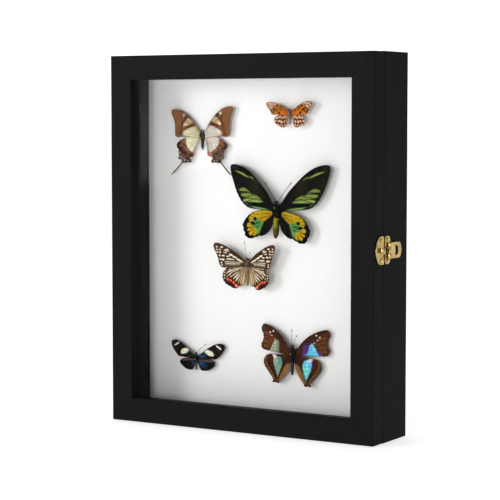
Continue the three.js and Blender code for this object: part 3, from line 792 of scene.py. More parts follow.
VEINS = {
    "swallowtail_fore": [
        [(3, 7), (10, 15.5), (18, 22.8), (26, 28), (36, 31)],
        [(3, 6), (12, 14), (20, 18.5), (27, 22), (38, 28)],
        [(20, 18.5), (28, 19.5), (37.5, 22)],
        [(24, 14), (31, 14.5), (36.3, 15.5)],
        [(25, 12.5), (31, 10.5), (36, 10)],
        [(3, 4), (14, 9), (24, 11.5), (31, 6.5), (35, 3.5)],
        [(3, 3), (14, 4), (24, 3), (30, 1.4)],
    ],
    "swallowtail_hind": [
        [(4, 0), (14, -0.5), (24, -3), (32, -8)],
        [(4, -1), (14, -4), (21, -8), (31, -13)],
        [(4, -1.5), (12, -8), (18, -14), (28, -20)],
        [(12, -8), (17, -16), (24, -24), (29, -30)],
        [(5, -3), (10, -12), (16, -22), (20, -27)],
    ],
    "fritillary_fore": [
        [(1, 2), (10, 7.4), (18, 11), (26, 12.6)],
        [(1, 1.6), (9, 5.8), (16, 7.5), (27, 10.5)],
        [(14, 6.8), (20, 6.2), (25.5, 6.2)],
        [(12, 4), (18, 3.2), (23.4, 2.6)],
        [(1, 1), (10, 2), (21, 0.4)],
    ],
    "fritillary_hind": [
        [(1, -0.8), (9, -2), (17, -4.6)],
        [(1, -1), (9, -4.5), (17.5, -8.6)],
        [(2, -1.6), (8, -6.8), (14.5, -12.6)],
        [(2, -2), (6.6, -8), (10, -14.6)],
        [(2, -3), (5, -8), (7, -14)],
    ],
    "birdwing_fore": [
        [(4, 3), (16, 18), (30, 32), (44, 41.5), (58, 45.8)],
        [(4, 2.4), (18, 17), (34, 30.5), (50, 40), (63, 43)],
        [(4, 1.6), (20, 14.5), (36, 24), (50, 32), (62.4, 37)],
        [(36, 24), (48, 26.5), (60, 29.5)],
        [(35, 21.5), (46, 21.8), (57.4, 23)],
        [(32, 18), (44, 16.6), (55.4, 17)],
        [(28, 13.5), (40, 11), (52, 10.4)],
        [(4, 0.8), (16, 6.5), (28, 9.5), (40, 5.8), (47, 5)],
        [(4, -1), (18, 2.6), (30, 2.4), (40, 0.6)],
    ],
    "birdwing_hind": [
        [(5, -4), (18, -5), (30, -8), (41, -13)],
        [(5, -4.6), (18, -8.4), (28, -11), (44, -18)],
        [(5, -5.4), (16, -11.4), (26, -15.5), (46, -24)],
        [(24, -14.6), (34, -21.4), (44, -29.5)],
        [(22, -15.5), (29, -22.5), (37, -33.6)],
        [(5, -6.6), (14, -14.6), (22, -22), (29, -32)],
        [(5, -8), (10, -17), (15, -27.5)],
    ],
    "ringskirt_fore": [
        [(2, 3), (12, 10.6), (24, 17.2), (34, 21)],
        [(2, 2.4), (13, 8.6), (22, 12.6), (38, 20)],
        [(22, 12.6), (30, 14.4), (39, 15.6)],
        [(21, 10.8), (30, 10.4), (37.6, 11)],
        [(19, 6.6), (28, 6.2), (36, 6.4)],
        [(2, 1.4), (14, 4.2), (24, 3), (35, 2)],
        [(2, 0), (14, 0.6), (24, -0.6), (33.4, -2)],
        [(2, -1), (14, -1.2), (30, -4)],
    ],
    "ringskirt_hind": [
        [(2, -2), (12, -3), (24, -7)],
        [(2, -2.4), (12, -5.6), (28, -11)],
        [(3, -3), (12, -8), (28.6, -15.6)],
        [(3, -3.4), (12, -10.6), (25.6, -22)],
        [(3, -4), (10, -12.6), (19, -26)],
        [(3, -5), (8, -14), (13, -27.6)],
        [(2.6, -6), (5.6, -16), (8, -24.6)],
    ],
    "longwing_fore": [
        [(2, 3), (12, 10.6), (22, 15.6), (33, 18)],
        [(2, 2.4), (12, 8.4), (22, 12.2), (35, 15)],
        [(20, 10.4), (28, 10.6), (34, 11)],
        [(2, 1.8), (12, 4.4), (22, 4.6), (30, 5.4)],
        [(2, 1.2), (14, 1.8), (24, 1.6)],
    ],
    "longwing_hind": [
        [(2, -0.4), (12, -1.4), (22, -3.6)],
        [(2, -1), (12, -4.4), (21, -7.6)],
        [(2.4, -1.6), (9, -6.4), (15, -11.6)],
        [(2.4, -2.4), (6, -8), (9, -12.6)],
    ],
    "emperor_fore": [
        [(4, 6), (14, 16.6), (26, 24), (38, 28.6)],
        [(4, 5), (15, 13.6), (28, 20), (42, 23)],
        [(24, 16.6), (33, 16.4), (41, 17)],
        [(23, 14), (32, 12), (40.6, 12.4)],
        [(21, 10), (30, 7.6), (42.4, 6.6)],
        [(4, 3), (16, 6), (28, 3.6), (41, 1.6)],
        [(4, 1), (18, 0.6), (34, 0.2)],
    ],
    "emperor_hind": [
        [(5, -2.6), (18, -4), (34, -6)],
        [(5, -3), (18, -7.6), (39, -12)],
        [(5, -3.6), (17, -11.4), (38, -18)],
        [(5, -4.4), (16, -14), (31, -25.6)],
        [(5, -5.4), (13, -16), (25, -33)],
        [(5, -7), (10, -18), (19, -34)],
    ],
}


# The drawings: c is the canvas, and right tells a right wing from a left one

def tail_lean(v):
    """How far the swallowtail's right hindwing leans inwards below its root, in millimetres."""
    return ramp(-v, 4, 18) * 3.8


def paint_swallowtail_fore(c, right):
    c.colour[:] = (203, 195, 182) if right else (214, 207, 172)
    near = 1 - ramp(c.u, 3, 15)
    c.lay(near, (190, 182, 168) if right else (182, 168, 112), 0.8)
    brown, dark, cream, band = (144, 90, 44), (92, 46, 16), (222, 204, 156), (70, 30, 10)
    outer_field = [
        (20, 40), (46, 40), (46, -6), (24.5, -6), (25.4, 3), (24.6, 6.6), (26.6, 12), (26.4, 18),
        (24.6, 21.4), (23, 26.6), (20.6, 29),
    ]
    c.patch(outer_field, brown, 0.7)
    upper_bar = [
        (13.5, 21.4), (19.6, 27.6), (26, 24.6), (27.6, 19), (26, 17.2), (22, 19.6), (17.6, 22),
    ]
    c.patch(upper_bar, dark)
    lower_bar = [
        (8, 12.8), (12.4, 18.6), (17, 15.7), (22, 13.5), (27, 12.4), (28, 7.4), (24, 7.6),
        (18.4, 10.3), (12.6, 12.4),
    ]
    c.patch(lower_bar, dark)
    c.patch([(21, 12.6), (27, 12), (28, 8), (24, 8), (20, 10)], (128, 76, 34), 1.2, 0.8)
    c.patch([(22.2, 28.4), (25.6, 26.4), (25.2, 22.6), (22.4, 23.8), (21.2, 26.4)], cream, 0.5)
    pale_bar = [
        (11.6, 17.4), (15.6, 21.6), (19.4, 20.6), (23.6, 17), (25.4, 12.8), (20.6, 13.9),
        (15.4, 15.9),
    ]
    c.patch(pale_bar, (192, 172, 124), 0.5)
    c.patch([(20.6, 16.2), (24.4, 15.4), (25.2, 13), (21, 13.9)], (226, 208, 168), 0.7)
    curved_band = [
        (20.6, 24.4, 2.0), (23.2, 20.6, 1.9), (26.2, 15.6, 1.5), (27.8, 10.6, 1.5), (28.8, 6, 1.3),
        (29.8, 2, 1.2),
    ]
    c.streak(curved_band, band, 0.5, 0.95)
    c.streak([(28.4, 27, 0.8), (27, 23.6, 0.8), (24.8, 20.6, 0.8)], band, 0.4, 0.9)
    for u in (13.5, 15.5, 17.5, 19.5, 21.5):
        c.streak([(u, 15, 0.22), (u + 1.6, 21, 0.22)], (140, 104, 60), 0.25, 0.6)
    rows = 0.5 + 0.5 * np.sin(c.v * 3.4 + 0.5 * np.sin(c.u))
    c.lay(rows * ramp(c.u, 29, 31), (92, 50, 24), 0.5)
    veins_on(c, VEINS["swallowtail_fore"][:5], (96, 54, 24), 0.26, 0.75)
    veins_on(c, VEINS["swallowtail_fore"][5:], (150, 136, 104), 0.2, 0.6)
    c.lay(ramp(c.u, 33, 38) * ramp(c.v, 22, 32), (150, 100, 62), 0.5)
    c.border(0.9, (64, 32, 14), 0.5, 0.85, ramp(c.u, 14, 22))
    c.border(0.5, (110, 78, 44), 0.4, 0.7)


def paint_swallowtail_hind(c, right):
    c.colour[:] = (206, 198, 184) if right else (216, 212, 178)
    if right:
        c.u = c.u + tail_lean(c.v)
    brown, dark, ember = (108, 57, 27), (38, 16, 8), (216, 154, 106)
    c.lay(1 - ramp(c.u, 4, 13), (170, 160, 140), 0.5)
    outer_field = [
        (20.6, 4), (24, 1.5), (40, -3), (40, -30), (28, -33), (12, -33), (9, -22), (11, -16),
        (15.6, -15.6), (19.4, -12), (21.8, -7), (22.4, -2),
    ]
    c.patch(outer_field, brown, 0.9)
    dark_rim = [
        (27.6, -5), (40, -6), (40, -34), (12, -34), (9, -22), (11.4, -18), (16, -19.4),
        (20, -16.6), (23, -13), (25.6, -9.6),
    ]
    c.patch(dark_rim, dark, 1.4, 0.95)
    ember_spots = (
        (28.2, -8, 1.7), (24.8, -11.2, 1.5), (21.8, -14.2, 1.4), (18.9, -16.6, 1.2),
        (26.6, -4.6, 1.2),
    )
    for u, v, r in ember_spots:
        c.spot(u, v, r * 0.9, r * 0.7, ember, -45, 0.25)
        c.spot(u + 0.9, v - 0.9, r * 1.1, r * 0.3, (40, 18, 10), -45, 0.35, 0.85)
    for u, v in ((31.4, -13.4), (29.4, -16.6), (26.2, -19.4), (22.6, -21.6)):
        c.spot(u, v, 1.15, 0.78, (206, 150, 112), -40, 0.25, 0.95)
    c.border(0.9, (36, 18, 12), 0.6, 0.9, ramp(-c.v, 5, 9) * ramp(c.u, 12, 15))
    c.spot(12.9, -18.2, 2.5, 1.6, (204, 124, 98) if right else (124, 54, 48), 20, 0.5)
    c.spot(15.9, -22.4, 1.5, 0.75, (232, 214, 180), 0, 0.25)
    for u, v in ((19, -25.6), (23.4, -25.2), (26.6, -22.8), (29.6, -21.2)):
        c.spot(u, v, 1.3, 0.68, (216, 194, 172), 30, 0.25, 0.95)
    inner = path_distance(c.u, c.v, [(4.6, -3.6, 0.6), (9.4, -12, 1.0), (11.6, -17, 0.9)])
    c.lay(1 - ramp(inner, -0.6, 1.6), (116, 100, 88), 0.65)
    c.lay(ramp(-c.v, 28.6, 30.4), (40, 28, 24), 0.95)
    c.lay(ramp(-c.v, 38.4, 40.4), (184, 176, 140), 0.9)


def paint_birdwing_fore(c, right):
    c.colour[:] = (12, 12, 9)
    c.spot(30, 21, 13, 6, (42, 31, 22), 40, 4, 0.75)
    c.spot(52, 22, 4, 12, (44, 31, 22), -20, 3, 0.7 if right else 0.3)
    leaf, fresh, olive = (128, 150, 66), (142, 168, 84), (118, 132, 56)
    c.streak([(57, 39.4, 0.35), (50, 37.4, 1.05), (44, 35, 1.15), (38.6, 32.4, 0.5)], leaf)
    c.streak([(38, 33.4, 0.3), (35, 32.4, 0.9), (31.4, 30.2, 0.35)], olive)
    c.streak([(30.4, 29, 0.25), (25, 24.6, 0.2)], (74, 88, 46), 0.4)
    c.streak([(62, 44, 0.5), (54, 42.4, 0.4)], (54, 62, 40), 0.6)
    c.streak([(50.4, 18.4, 1.2), (46, 18.9, 2.2), (41, 17.6, 1.6), (36.6, 16, 0.4)], olive, 0.5)
    c.streak([(50, 22.4, 0.3), (45, 21.8, 0.4)], (70, 66, 44), 0.6, 0.7)
    widest = [
        (47.6, 13, 1.3), (44, 12.8, 2.5), (37, 12, 2.6), (30, 9.8, 2.0), (24, 7.8, 1.2),
        (18.6, 5.6, 0.2),
    ]
    c.streak(widest, leaf, 0.5)
    c.streak([(31.4, 13.4, 0.6), (28, 11.8, 1.1), (23.4, 9.2, 0.8), (19.6, 6.6, 0.2)], olive, 0.5)
    brightest = [(44.8, 7.0, 1.2), (40, 7.2, 1.8), (33, 6.9, 1.6), (26, 6.1, 1.0), (19.6, 5.4, 0.2)]
    c.streak(brightest, fresh, 0.45)
    between = (24, 28, 14)
    c.streak([(46, 10.2, 0.3), (38, 9.5, 0.28), (28, 8.2, 0.2), (22, 6.8, 0.15)], between, 0.3, 0.85)
    c.streak([(47, 15.6, 0.45), (40, 14.8, 0.3)], between, 0.35, 0.85)
    c.streak([(43.8, 5.2, 0.7), (41, 3, 0.6), (37, 1, 0.4), (33, 0.2, 0.3)], (86, 104, 52), 0.6)
    lowest = [(34, 0.6, 0.3), (28, -0.9, 1.1), (22, -1.6, 1.25), (16, -2.3, 0.9), (11.6, -2.8, 0.2)]
    c.streak(lowest, (116, 150, 82), 0.45)
    for k in range(11):
        top = (49 - 2.6 * k, 15.6 - 0.7 * k, 0.25)
        c.streak([top, (44.6 - 2.6 * k, 9.4 - 0.3 * k, 0.2)], (76, 96, 38), 0.35, 0.5)
    veins_on(c, VEINS["birdwing_fore"], (8, 9, 6), 0.34, 0.85)
    c.border(0.5, (8, 8, 7), 0.4)


def paint_birdwing_hind(c, right):
    c.colour[:] = (13, 13, 11)
    gold, ochre, green = (190, 158, 14), (172, 128, 18), (96, 148, 70)
    upper = [
        (6.6, -5.6), (9, -3.2), (14, -2), (22, -1.4), (30, -3), (35.6, -7), (39, -11.4),
        (39.8, -15.6), (36.6, -17), (33, -15), (30.4, -12.4), (27, -13.8), (22.4, -15.6),
        (18.6, -15.8), (14.6, -13.2), (10.6, -10.4), (7.4, -7.8),
    ]
    c.patch(upper, gold, 0.5)
    shaded = [(9, -8.6), (18, -9.4), (26, -11), (25, -14.6), (20, -16), (14, -13)]
    c.patch(shaded, ochre, 1.6, 0.8)
    c.streak([(8, -7.4, 0.3), (18, -8.2, 0.25), (27, -10, 0.2)], (140, 108, 20), 0.35, 0.6)
    middle = [
        (26, -12.6), (30, -13.2), (36.6, -16.6), (38.6, -19.6), (35, -21.2), (31.4, -21.8),
        (30, -24.4), (28, -28), (26.6, -30.6), (24, -27.4), (21.4, -22), (18.8, -17), (20, -15.2),
    ]
    c.patch(middle, green, 0.5)
    c.spot(24.6, -18, 3.4, 1.1, (60, 108, 52), 12, 0.8, 0.8)
    c.spot(27.4, -21.4, 2.0, 1.0, (52, 96, 44), -30, 0.6, 0.8)
    c.spot(29, -15.4, 1.8, 1.2, (110, 160, 80), 0, 0.8, 0.6)
    lower = [
        (37.6, -17.4), (41, -18.2), (42.2, -21.2), (40.6, -23.6), (41.6, -26.4), (39.2, -28.2),
        (38.8, -30.8), (36, -32.2), (32, -32.3), (28.8, -31.4), (27.8, -28), (29.8, -24),
        (33, -21.8), (36, -20.8),
    ]
    c.patch(lower, gold, 0.5)
    for u, v in ((36, -24), (33, -29), (38.4, -20.4)):
        c.spot(u, v, 2.0, 1.3, (188, 136, 24), 30, 0.9, 0.8)
    rim_gaps = [
        ((41, -23.6), (33.6, -22.8)), ((40.4, -28.4), (32.6, -24.6)),
        ((34.4, -32.4), (30.8, -26.6)),
    ]
    c.strokes(rim_gaps, (0.75, 0.35), (36, 27, 8), 0.3, 0.95)
    green_lines = [
        ((22, -15.2), (29, -18.6)), ((24, -19.4), (31, -16)), ((25, -23.6), (29.4, -21)),
        ((27, -15.6), (29.6, -20)), ((22.4, -20.6), (26.6, -22.4)),
    ]
    c.strokes(green_lines, (0.3, 0.45), (16, 52, 26), 0.35, 0.85)
    gold_lines = [
        ((35, -5.4), (30.4, -9)), ((38.6, -9), (33, -11.6)), ((40, -13.4), (34.6, -14.4)),
        ((9, -6.6), (22, -6.8)), ((10, -9), (24, -12.4)),
    ]
    c.strokes(gold_lines, (0.5, 0.3), (60, 42, 8), 0.3, 0.9)
    teeth = (
        (37.4, -6.6), (40.2, -11), (40.8, -15.8), (42.4, -23.6), (40.8, -28.4), (36.4, -32.6),
        (31, -32.6),
    )
    for u, v in teeth:
        c.spot(u, v, 2.3, 0.75, (12, 12, 10), math.degrees(math.atan2(v, u)), 0.4, 0.95)
    c.spot(30.4, -13.1, 2.5, 2.0, (9, 9, 9), 10, 0.3)
    c.spot(33.6, -18, 3.6, 1.7, (9, 9, 9), 16, 0.3)
    c.spot(27, -7.9, 1.5, 0.5, (58, 74, 14), 4, 0.35)
    c.border(0.6, (10, 10, 9), 0.4)


def paint_ringskirt_fore(c, right):
    c.colour[:] = (64, 38, 23)
    c.lay(ramp(c.u, 24, 38), (94, 56, 34), 0.75)
    c.lay(1 - ramp(c.u, 4, 16), (84, 64, 48), 0.6)
    cream, tan = (246, 238, 214), (190, 178, 150)
    veins_on(c, VEINS["ringskirt_fore"], (46, 26, 17), 0.3, 0.75)
    rows = [
        (36.8, 18, 1.0, 0.7), (36.6, 15, 1.0, 0.6), (36, 12, 1.1, 0.6), (33.2, 8.6, 1.1, 0.75),
        (32, 4.2, 1.1, 0.8), (31, 0.4, 0.9, 0.7), (31, 17.8, 1.5, 0.8), (33, 15, 1.1, 0.7),
        (32.7, 12, 1.0, 0.65), (29, 8.4, 1.5, 0.8), (29, 4, 1.4, 0.95), (30.6, -2, 1.0, 0.8),
    ]
    c.spots(rows, (1.12, 1.2), cream, 0, 0.25)
    dashes = [
        [(28, 14.6, 0.5), (25.6, 14.2, 0.9), (22.6, 13, 0.3)],
        [(25, 16, 0.4), (22.6, 14.9, 0.5)],
        [(28, 12, 0.5), (25, 11.6, 0.5)],
        [(25, 8, 0.6), (22.8, 7.8, 0.7), (20, 9.2, 0.3)],
        [(21.6, 10.4, 0.6), (19.4, 9.4, 1.0), (17.4, 8.6, 0.4)],
        [(17, 7.6, 0.8), (14.4, 6.6, 0.9), (12.8, 6.4, 0.4)],
        [(12.4, 5, 0.8), (9, 3.4, 1.0), (5.6, 1.8, 0.5)],
        [(24.6, 4.8, 0.6), (20, 4.6, 0.7), (15.4, 4.2, 0.3)],
    ]
    for path in dashes:
        c.streak(path, cream, 0.25)
    c.streak([(26.4, 1.6, 0.8), (20, 1.8, 1.0), (13, 1.5, 0.7), (7, 0.7, 0.3)], tan, 0.3)
    c.streak([(26, -0.8, 0.6), (18, -0.3, 0.75), (9, -0.4, 0.4)], (216, 208, 184), 0.3)
    dark_lines = [
        [(26.6, 2.9, 0.3), (16, 3.05, 0.35), (7, 1.7, 0.25)],
        [(26.4, 0.3, 0.22), (18, 0.6, 0.25), (8, 0.1, 0.2)],
        [(26, -1.8, 0.3), (18, -1.3, 0.3), (9, -1.1, 0.2)],
        [(22, 1.9, 0.12), (13, 1.6, 0.14)],
    ]
    for path in dark_lines:
        c.streak(path, (52, 32, 20), 0.22, 0.9)
    c.streak([(26.6, -3, 0.4), (18, -2.1, 0.8), (9, -1.7, 0.5)], (132, 108, 82), 0.5, 0.8)
    c.spot(31, -1.6, 0.9, 1.0, (196, 140, 116), 0, 0.5, 0.6)
    c.border(0.5, (66, 42, 28), 0.4)


def paint_ringskirt_hind(c, right):
    c.colour[:] = (66, 40, 25)
    tan, cream, dark = (206, 184, 140), (242, 230, 196), (40, 20, 12)
    c.lay(1 - ramp(c.u, 6, 9.5), (188, 162, 118), 0.95)
    c.lay(1 - ramp(np.hypot(c.u - 2, c.v + 2), 5, 9), (168, 146, 112), 0.8)
    c.lay(ramp(c.v, -3.6, -2.2), (92, 66, 46), 0.6)
    fan = [
        [(8, -3.4), (15, -4.3), (21.6, -4.9)],
        [(9, -4.6), (15, -6.7), (21.6, -8)],
        [(6, -4), (13, -8), (18.4, -11), (22, -14.4)],
        [(14, -6.6), (19, -8.6), (23.4, -11)],
        [(7, -6.6), (12.4, -11), (16, -13.6), (19.6, -16)],
        [(7, -8.4), (11.4, -13.4), (14.6, -16.6), (16.4, -17.8)],
        [(6.6, -10), (10, -15), (12, -18.4), (13.6, -19.8)],
        [(6, -11), (8.6, -16.6), (10, -20.4), (10.6, -22)],
        [(4.4, -10), (6.4, -16), (7.4, -20.4), (7.8, -23)],
        [(3.2, -10), (4.6, -15.6), (5.2, -20), (5.4, -22.4)],
    ]
    cream_rays, rays_without_edge, half_widths = 7, 3, (0.3, 0.74, 0.66, 0.42)
    for index, path in enumerate(fan):
        colour = cream if index < cream_rays else tan
        c.streak([(u, v, w) for (u, v), w in zip(path, half_widths)], colour, 0.26)
        if index >= rays_without_edge:
            c.streak([(u + 1.15, v + 0.75, 0.22) for u, v in path], dark, 0.2, 0.75)
    veins_on(c, VEINS["ringskirt_hind"], (50, 28, 18), 0.2, 0.7)
    band = [
        (28, -15.8), (22, -16.6), (18.4, -17.9), (14, -20.6), (9.8, -24), (11, -30), (18, -32),
        (30, -26),
    ]
    c.patch(band, dark, 0.5)
    outer_spots = [
        (24.6, -6.2, 0.8), (26.6, -8.4, 1.1), (27.2, -11.4, 1.2), (24.4, -12.2, 0.8),
        (26.8, -14.6, 1.2), (23.6, -15.6, 0.9), (26.2, -17.6, 0.9),
    ]
    for u, v, r in outer_spots:
        c.spot(u, v, r, r * 0.72, (216, 202, 168), -20, 0.3)
    for u, v, r in ((22.7, -18.9, 1.8), (19, -19.9, 1.75), (15.7, -22, 1.8), (12.4, -25.2, 2.2)):
        c.spot(u, v, r * 1.16, r * 0.95, (150, 50, 38), 40, 0.35)
        c.spot(u, v, r * 0.92, r * 0.74, (230, 98, 74), 40, 0.35)
    c.spot(12.3, -25.4, 1.5, 1.15, (250, 140, 98), 30, 0.4)
    for u, v in ((24, -21), (20.6, -23.4), (17, -25.6)):
        c.spot(u, v, 0.9, 0.4, (96, 84, 74), -40, 0.4, 0.7)
    c.border(0.5, (58, 36, 24), 0.4, 0.8)


def paint_longwing_fore(c, right):
    c.colour[:] = (20, 12, 12)
    if not right:
        c.lay(ramp(c.u + 0.4 * c.v, 31, 41), (92, 72, 76), 0.9)
    c.lay(ramp(c.u, 14, 24), (30, 17, 17), 0.6)
    oval = [
        (10.6, 9.6), (12.6, 11), (16, 11.2), (19.8, 9.8), (22.3, 7), (22.4, 4.8), (20.4, 3.7),
        (17, 4.4), (13.4, 6), (11, 7.8),
    ]
    c.patch(oval, (228, 234, 204), 0.4)
    c.streak([(12, 8.4, 0.1), (21, 5.6, 0.1)], (176, 182, 148), 0.25, 0.5)
    c.spot(15, 9, 3, 1.2, (244, 246, 230), -22, 0.8, 0.7)
    c.streak([(31.2, 12.8, 0.7), (28.6, 14.4, 0.95), (25.4, 16.6, 0.6)], (252, 252, 250), 0.25)
    # The blue at the forewing's base is painted iridescent sheen, on the right wing only; the left wing
    # has a dark patch in its place.
    if right:
        c.spot(8, 4, 4.8, 2.7, (36, 64, 100), 20, 1.6, 0.9)
        for shift in (0, 1.6, 3.2):
            c.streak([(4 + shift, 4.6, 0.12), (8 + shift, 2.2, 0.12)], (84, 118, 160), 0.3, 0.6)
    else:
        c.spot(8, 4.2, 4.6, 2.6, (24, 25, 27), 20, 1.8, 0.9)
    c.border(0.5, (12, 9, 9), 0.4)


def paint_longwing_hind(c, right):
    c.colour[:] = (14, 11, 13)
    edge = path_distance(c.u, c.v, [(3, -0.9, 0.5), (12, -1.2, 1.1), (20, -2.6, 0.5)])
    c.lay(1 - ramp(edge, -0.3, 0.9), (118, 84, 70), 0.9)
    # The blue near the root is painted iridescent sheen: a broad patch on the right hindwing, a small
    # spot on the left.
    if right:
        c.spot(8.4, -5.4, 5.6, 3.4, (30, 58, 98), -14, 2.2, 0.95)
        c.spot(5.4, -4.6, 2, 2.4, (52, 88, 136), -14, 1.2, 0.8)
    else:
        c.spot(4.6, -4.8, 1.3, 2.6, (62, 104, 160), -10, 0.8, 0.95)
        c.spot(9, -5, 4, 3, (20, 23, 28), 0, 2.0, 0.8)
    veins_on(c, VEINS["longwing_hind"], (8, 8, 10), 0.12, 0.6)
    c.border(0.5, (10, 8, 9), 0.4)


def paint_fritillary_fore(c, right):
    c.colour[:] = (206, 124, 26)
    c.lay(1 - ramp(c.u, 5, 11), (196, 84, 34), 0.85)
    c.lay(ramp(c.u + 0.5 * c.v, 20.5, 25), (158, 108, 74), 0.95)
    c.lay(ramp(c.v - 0.45 * c.u, 2.4, 4.6), (150, 108, 52), 0.85)
    veins_on(c, VEINS["fritillary_fore"], (134, 76, 30), 0.12, 0.5)
    marks = [
        (17.6, 5.3, 1.5, 0.9), (18.4, 3.2, 0.8, 1.2), (13.2, 1.3, 1.4, 0.95), (12.8, 6, 1.2, 0.7),
        (10.2, 4.6, 0.6, 1.3), (10.8, 7.8, 1.5, 0.9), (21.4, 2, 0.9, 1.3), (20, 6.8, 0.7, 1.2),
        (15.4, 9, 1.4, 0.8), (7, 3.6, 0.5, 1.0), (15, 3.8, 0.5, 1.2), (22.8, 4.6, 1.2, 0.7),
    ]
    c.spots(marks, (1.25, 1.25), (74, 24, 12), 25, 0.25)
    for u, v in ((21.6, 9.9), (24, 10.4), (24.6, 7.8), (19.4, 9.6), (26.2, 10.8), (22.6, 12.4)):
        c.spot(u, v, 1.3, 0.8, (92, 46, 28), 50, 0.3)
    pale = [
        (25, 11.8, 1.4, 0.7), (22.2, 11, 1.5, 0.7), (25.6, 9.4, 1.0, 0.8), (20, 12.2, 1.0, 0.5),
        (23, 8.2, 1.3, 0.7), (18.4, 10.8, 1.2, 0.6), (24.4, 6.4, 0.8, 0.6), (21, 8.8, 1.0, 0.6),
    ]
    c.spots(pale, (1.1, 1.15), (240, 208, 188), 35, 0.25)
    c.border(0.45, (120, 76, 46), 0.4)


def paint_fritillary_hind(c, right):
    c.colour[:] = (158, 104, 62)
    c.lay(1 - ramp(c.u, 3, 8), (172, 128, 92), 0.6)
    shade = [
        (14, -5.9, 1.6, 0.8), (8, -6.8, 1.5, 0.8), (11, -6.4, 1.0, 0.8), (16.2, -10, 1.2, 0.9),
        (12.8, -10.2, 1.0, 1.3), (5, -10.4, 0.7, 1.5), (8.6, -11, 0.7, 1.4), (10.6, -2.5, 1.8, 0.6),
        (17.8, -5.9, 0.8, 1.0), (14.4, -13, 0.8, 1.0), (6.8, -5.6, 1.4, 0.5), (10.8, -14, 0.5, 1.2),
    ]
    c.spots(shade, (1.2, 1.25), (70, 28, 20), -25, 0.25)
    veins_on(c, VEINS["fritillary_hind"], (112, 62, 40), 0.14, 0.7)
    silver = [
        (12.2, -3.5, 1.9, 0.75), (15.9, -4.3, 1.4, 0.9), (8.6, -4.4, 2.0, 0.55), (4.8, -4, 1.5, 0.45),
        (13, -7.8, 1.5, 0.7), (17.6, -8, 1.0, 0.8), (10.4, -8.9, 1.1, 1.2), (6.8, -8.4, 0.6, 1.1),
        (14.8, -11.6, 0.8, 0.9), (9.4, -13, 0.6, 1.2), (12.4, -13, 0.6, 1.0), (6.2, -12.6, 0.5, 1.1),
        (6.2, -2.4, 1.5, 0.35), (18.6, -5.6, 0.6, 0.7), (3.6, -8.6, 0.4, 1.2),
    ]
    c.spots(silver, (1, 1), (250, 226, 214), -30, 0.28, 0.92)
    c.border(0.35, (134, 86, 52), 0.3, 0.8)


